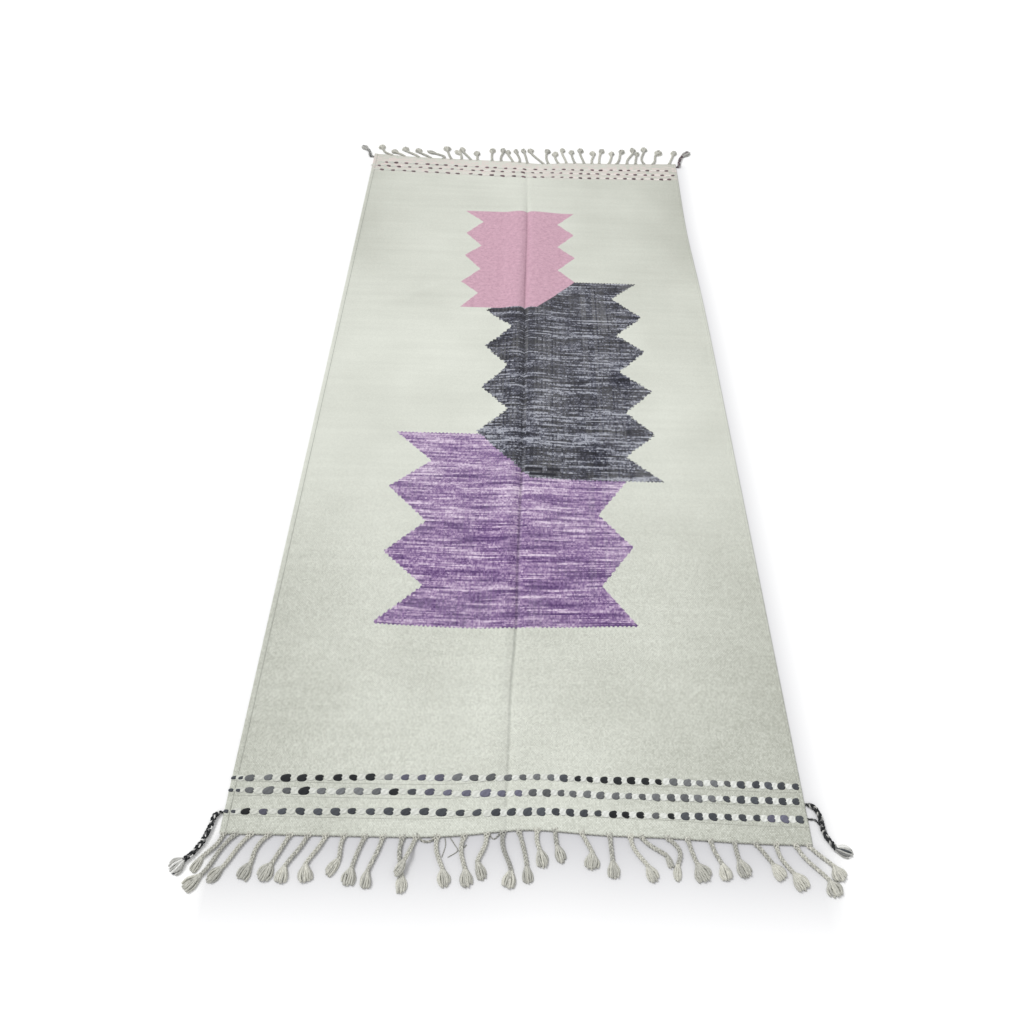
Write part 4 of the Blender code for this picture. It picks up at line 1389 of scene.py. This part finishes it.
def corner_plait(plait):
    """A plait of three strands along the route, two yarns in each strand, and a tuft at its end."""
    half = PLAIT_WIDTH / 2
    centre = from_edge(plait.side, plait.leaves, plait.route, PLAIT_RINGS, half)
    _, left, up = frame_of(centre)
    run = along_path(centre)
    grown = 0.45 + 0.55 * smooth(run / SETTLE_RUN)
    angle = 2 * math.pi * (run / PLAIT_PITCH + np.arange(3)[:, None] / 3)
    swing = (half - 2 * PAIR_RADIUS) * grown
    sideways = (swing * np.sin(angle))[..., None] * left
    upward = (0.35 * swing * np.sin(2 * angle))[..., None] * up
    strands = centre + sideways + upward
    pairs = twisted(strands, PAIR_RADIUS * grown, PAIR_TURN, 2)
    dyes = np.array(plait.yarns).reshape(3, 2, 4)
    tip = np.array([[plait.tip[0] * CM, plait.tip[1] * CM, 0.0]])
    ends, end_radius = tuft_paths(centre[-1:].copy(), tip, np.array([plait.tuft * CM]), half, 0.15)
    tuft_dye = np.array([plait.ends[i % len(plait.ends)] for i in range(UNDER_ENDS + UPPER_ENDS)])
    parts = [
        yarn_arrays(pairs, 1.15 * PAIR_RADIUS * grown, 6, dyes),
        yarn_arrays(ends[0], end_radius[0], 6, tuft_dye),
    ]
    if plait.name == "corner_plait_near_right":
        strand = from_edge(1, SIDE_STRAND_LEAVES, SIDE_STRAND_ROUTE, 24, SIDE_STRAND_HEIGHT)
        pair = twisted(strand, SIDE_STRAND_REACH, PAIR_TURN, 2)
        parts.append(yarn_arrays(pair, SIDE_STRAND_RADIUS, 6, np.array([BLACK, SMOKE])))
    made = piece(plait.name + "_dressed", joined(*parts), CORNER_YARN)
    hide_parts(plait.name)
    return made


plaits = [corner_plait(plait) for plait in PLAITS]

# %% [markdown]
# ## Closing twine and loose threads
#
# A thin two-ply twine runs along the near edge and holds the last weft. In one place it hangs out in a
# thicker loop, and a few single threads have come free and lie on the floor in arcs.

# %% Threads
TWINE_YARN = yarn_material("thin twine", 0.5)
TWINE_DARK, TWINE_PALE = linear(146, 146, 140), linear(192, 191, 182)
Loop = namedtuple("Loop", "route radius")
LOOPS = (
    Loop(((-17.0, -104.9), (-16.0, -106.0), (-14.5, -106.0), (-13.5, -104.9)), 0.0012),
    Loop(((-12.5, -104.6), (-12.0, -106.5), (-12.5, -108.5)), 0.0005),
    Loop(((-12.0, -104.6), (-10.5, -106.5), (-10.0, -107.5), (-11.5, -108.5)), 0.0005),
    Loop(((-10.0, -107.5), (-9.0, -107.0), (-8.5, -106.5)), 0.0005),
    Loop(((-5.0, -104.6), (-4.0, -105.5), (-3.0, -104.6)), 0.0006),
)
EDGE_RINGS = 620
EDGE_OUT = 0.0006
EDGE_HEIGHT = 0.0019
EDGE_RADIUS = 0.0005
EDGE_TURN = 0.009
LOOP_ROOT_Y = -1.052
LOOP_ROOT_HEIGHT = 0.0022


def twine(path, radius, turn, dyes):
    """Two yarns twisted round one path."""
    return yarn_arrays(twisted(path, 0.9 * radius, turn, 2), radius, 5, np.array(dyes))


def edge_twine():
    """A twine just outside the near edge, at mid-thickness."""
    edge = on_cloth(np.linspace(-HALF_WIDTH + 0.002, HALF_WIDTH - 0.002, EDGE_RINGS), np.array(-HALF_LENGTH))
    edge[:, 1] -= EDGE_OUT
    edge[:, 2] = EDGE_HEIGHT
    return twine(edge, EDGE_RADIUS, EDGE_TURN, (TWINE_DARK, TWINE_PALE))


def loose(loop):
    """A loop on the floor that starts and ends at the edge's height, if it reaches the edge."""
    x, y = np.array(loop.route).T * CM
    height = np.where(y > LOOP_ROOT_Y, LOOP_ROOT_HEIGHT, loop.radius)
    curve = smooth_curve(np.stack((x, y, height), -1), 60)
    return twine(curve, loop.radius, 8 * loop.radius, (TWINE_DARK, TWINE_PALE))


threads = piece("closing_twine", joined(edge_twine(), *(loose(loop) for loop in LOOPS)), TWINE_YARN)

# %% [markdown]
# ## Floor and light
#
# The rug lies on a plain white floor under soft studio light. Most of the light comes evenly from all
# round, which is the world. A sun with a wide disc stands high on the far left and adds the direction
# that shows the crease and the yarns. In the photograph the floor is a little greyer in front of the
# fringe and along the right side. A rug this thin hardly throws such a shade, so it is worked out from
# the distance to the rug and kept at the floor's points.

# %% Floor and light
FLOOR_HALF = 7.0
FLOOR_WHITE = 0.95
FLOOR_COLUMNS = np.linspace(-0.80, 0.80, 81)
FLOOR_ROWS = np.linspace(-1.45, 1.30, 111)
SHADE_POWER = 1.25
SHADE_REACH = {"left": 0.03, "right": 0.07, "near": 0.20, "far": 0.02}
SHADE_DEPTH = {"left": 0.12, "right": 0.28, "near": 0.42, "far": 0.02}
WORLD_LIGHT = 0.74
SUN_LIGHT = 1.75
SUN_FROM = Vector((-0.9, 0.75, 1.5))
SUN_DISC = math.radians(24)


def floor():
    """A level square. Its shade is the depth at the rug's edge, fading with 1 - distance to a power."""
    places = [np.concatenate(([-FLOOR_HALF], inner, [FLOOR_HALF])) for inner in (FLOOR_COLUMNS, FLOOR_ROWS)]
    x, y = np.meshgrid(*places)
    edge_y = np.where(y < 0, -near_end(x), far_end(x))
    lean = side_shift(np.sign(x) * HALF_WIDTH, np.clip(y, -HALF_LENGTH, HALF_LENGTH))
    out_x = np.maximum(np.abs(x - lean) - HALF_WIDTH, 0)
    out_y = np.maximum(np.abs(y) - edge_y, 0)
    side = np.where(x < 0, "left", "right")
    end = np.where(y < 0, "near", "far")
    reach = np.vectorize(SHADE_REACH.get)
    depth = np.vectorize(SHADE_DEPTH.get)
    away = np.hypot(out_x / reach(side), out_y / reach(end))
    share = np.divide(out_y / reach(end), np.maximum(away, 1e-6))
    nearer_end = edge_y - np.abs(y) < HALF_WIDTH - np.abs(x - lean)
    deep = depth(side) + (depth(end) - depth(side)) * np.where(away > 0, share, nearer_end)
    shade = 1 - deep * np.clip(1 - away, 0, 1) ** SHADE_POWER
    faces = grid_faces(np.arange(x.size).reshape(x.shape))
    points = np.stack((x + SHIFT[0], y + SHIFT[1], np.zeros_like(x)), -1).reshape(-1, 3)
    data = bpy.data.meshes.new("floor")
    data.from_pydata(points.tolist(), [], faces.tolist())
    colours = np.stack((shade, shade, 1 - (1 - shade) * 0.95, np.ones_like(shade)), -1) * FLOOR_WHITE
    mark_points(data, "shade", colours)
    paint = bpy.data.materials.new("white floor")
    paint.use_nodes = True
    shader = paint.node_tree.nodes["Principled BSDF"]
    paint.node_tree.links.new(attribute(paint.node_tree, "shade"), shader.inputs["Base Color"])
    shader.inputs["Roughness"].default_value = 0.9
    shader.inputs["Specular IOR Level"].default_value = 0.1
    data.materials.append(paint)
    placed("floor", data)


def lights():
    """An even white world and one sun with a wide disc."""
    world = bpy.data.worlds.new("soft world")
    world.use_nodes = True
    background = world.node_tree.nodes["Background"]
    background.inputs["Color"].default_value = (1.0, 1.0, 1.0, 1.0)
    background.inputs["Strength"].default_value = WORLD_LIGHT
    bpy.context.scene.world = world
    data = bpy.data.lights.new("soft sun", "SUN")
    data.energy = SUN_LIGHT
    data.angle = SUN_DISC
    made = placed("soft sun", data)
    made.rotation_mode = "QUATERNION"
    made.rotation_quaternion = (-SUN_FROM).to_track_quat("-Z", "Y")


floor()
lights()
bpy.context.scene.view_settings.view_transform = "Standard"
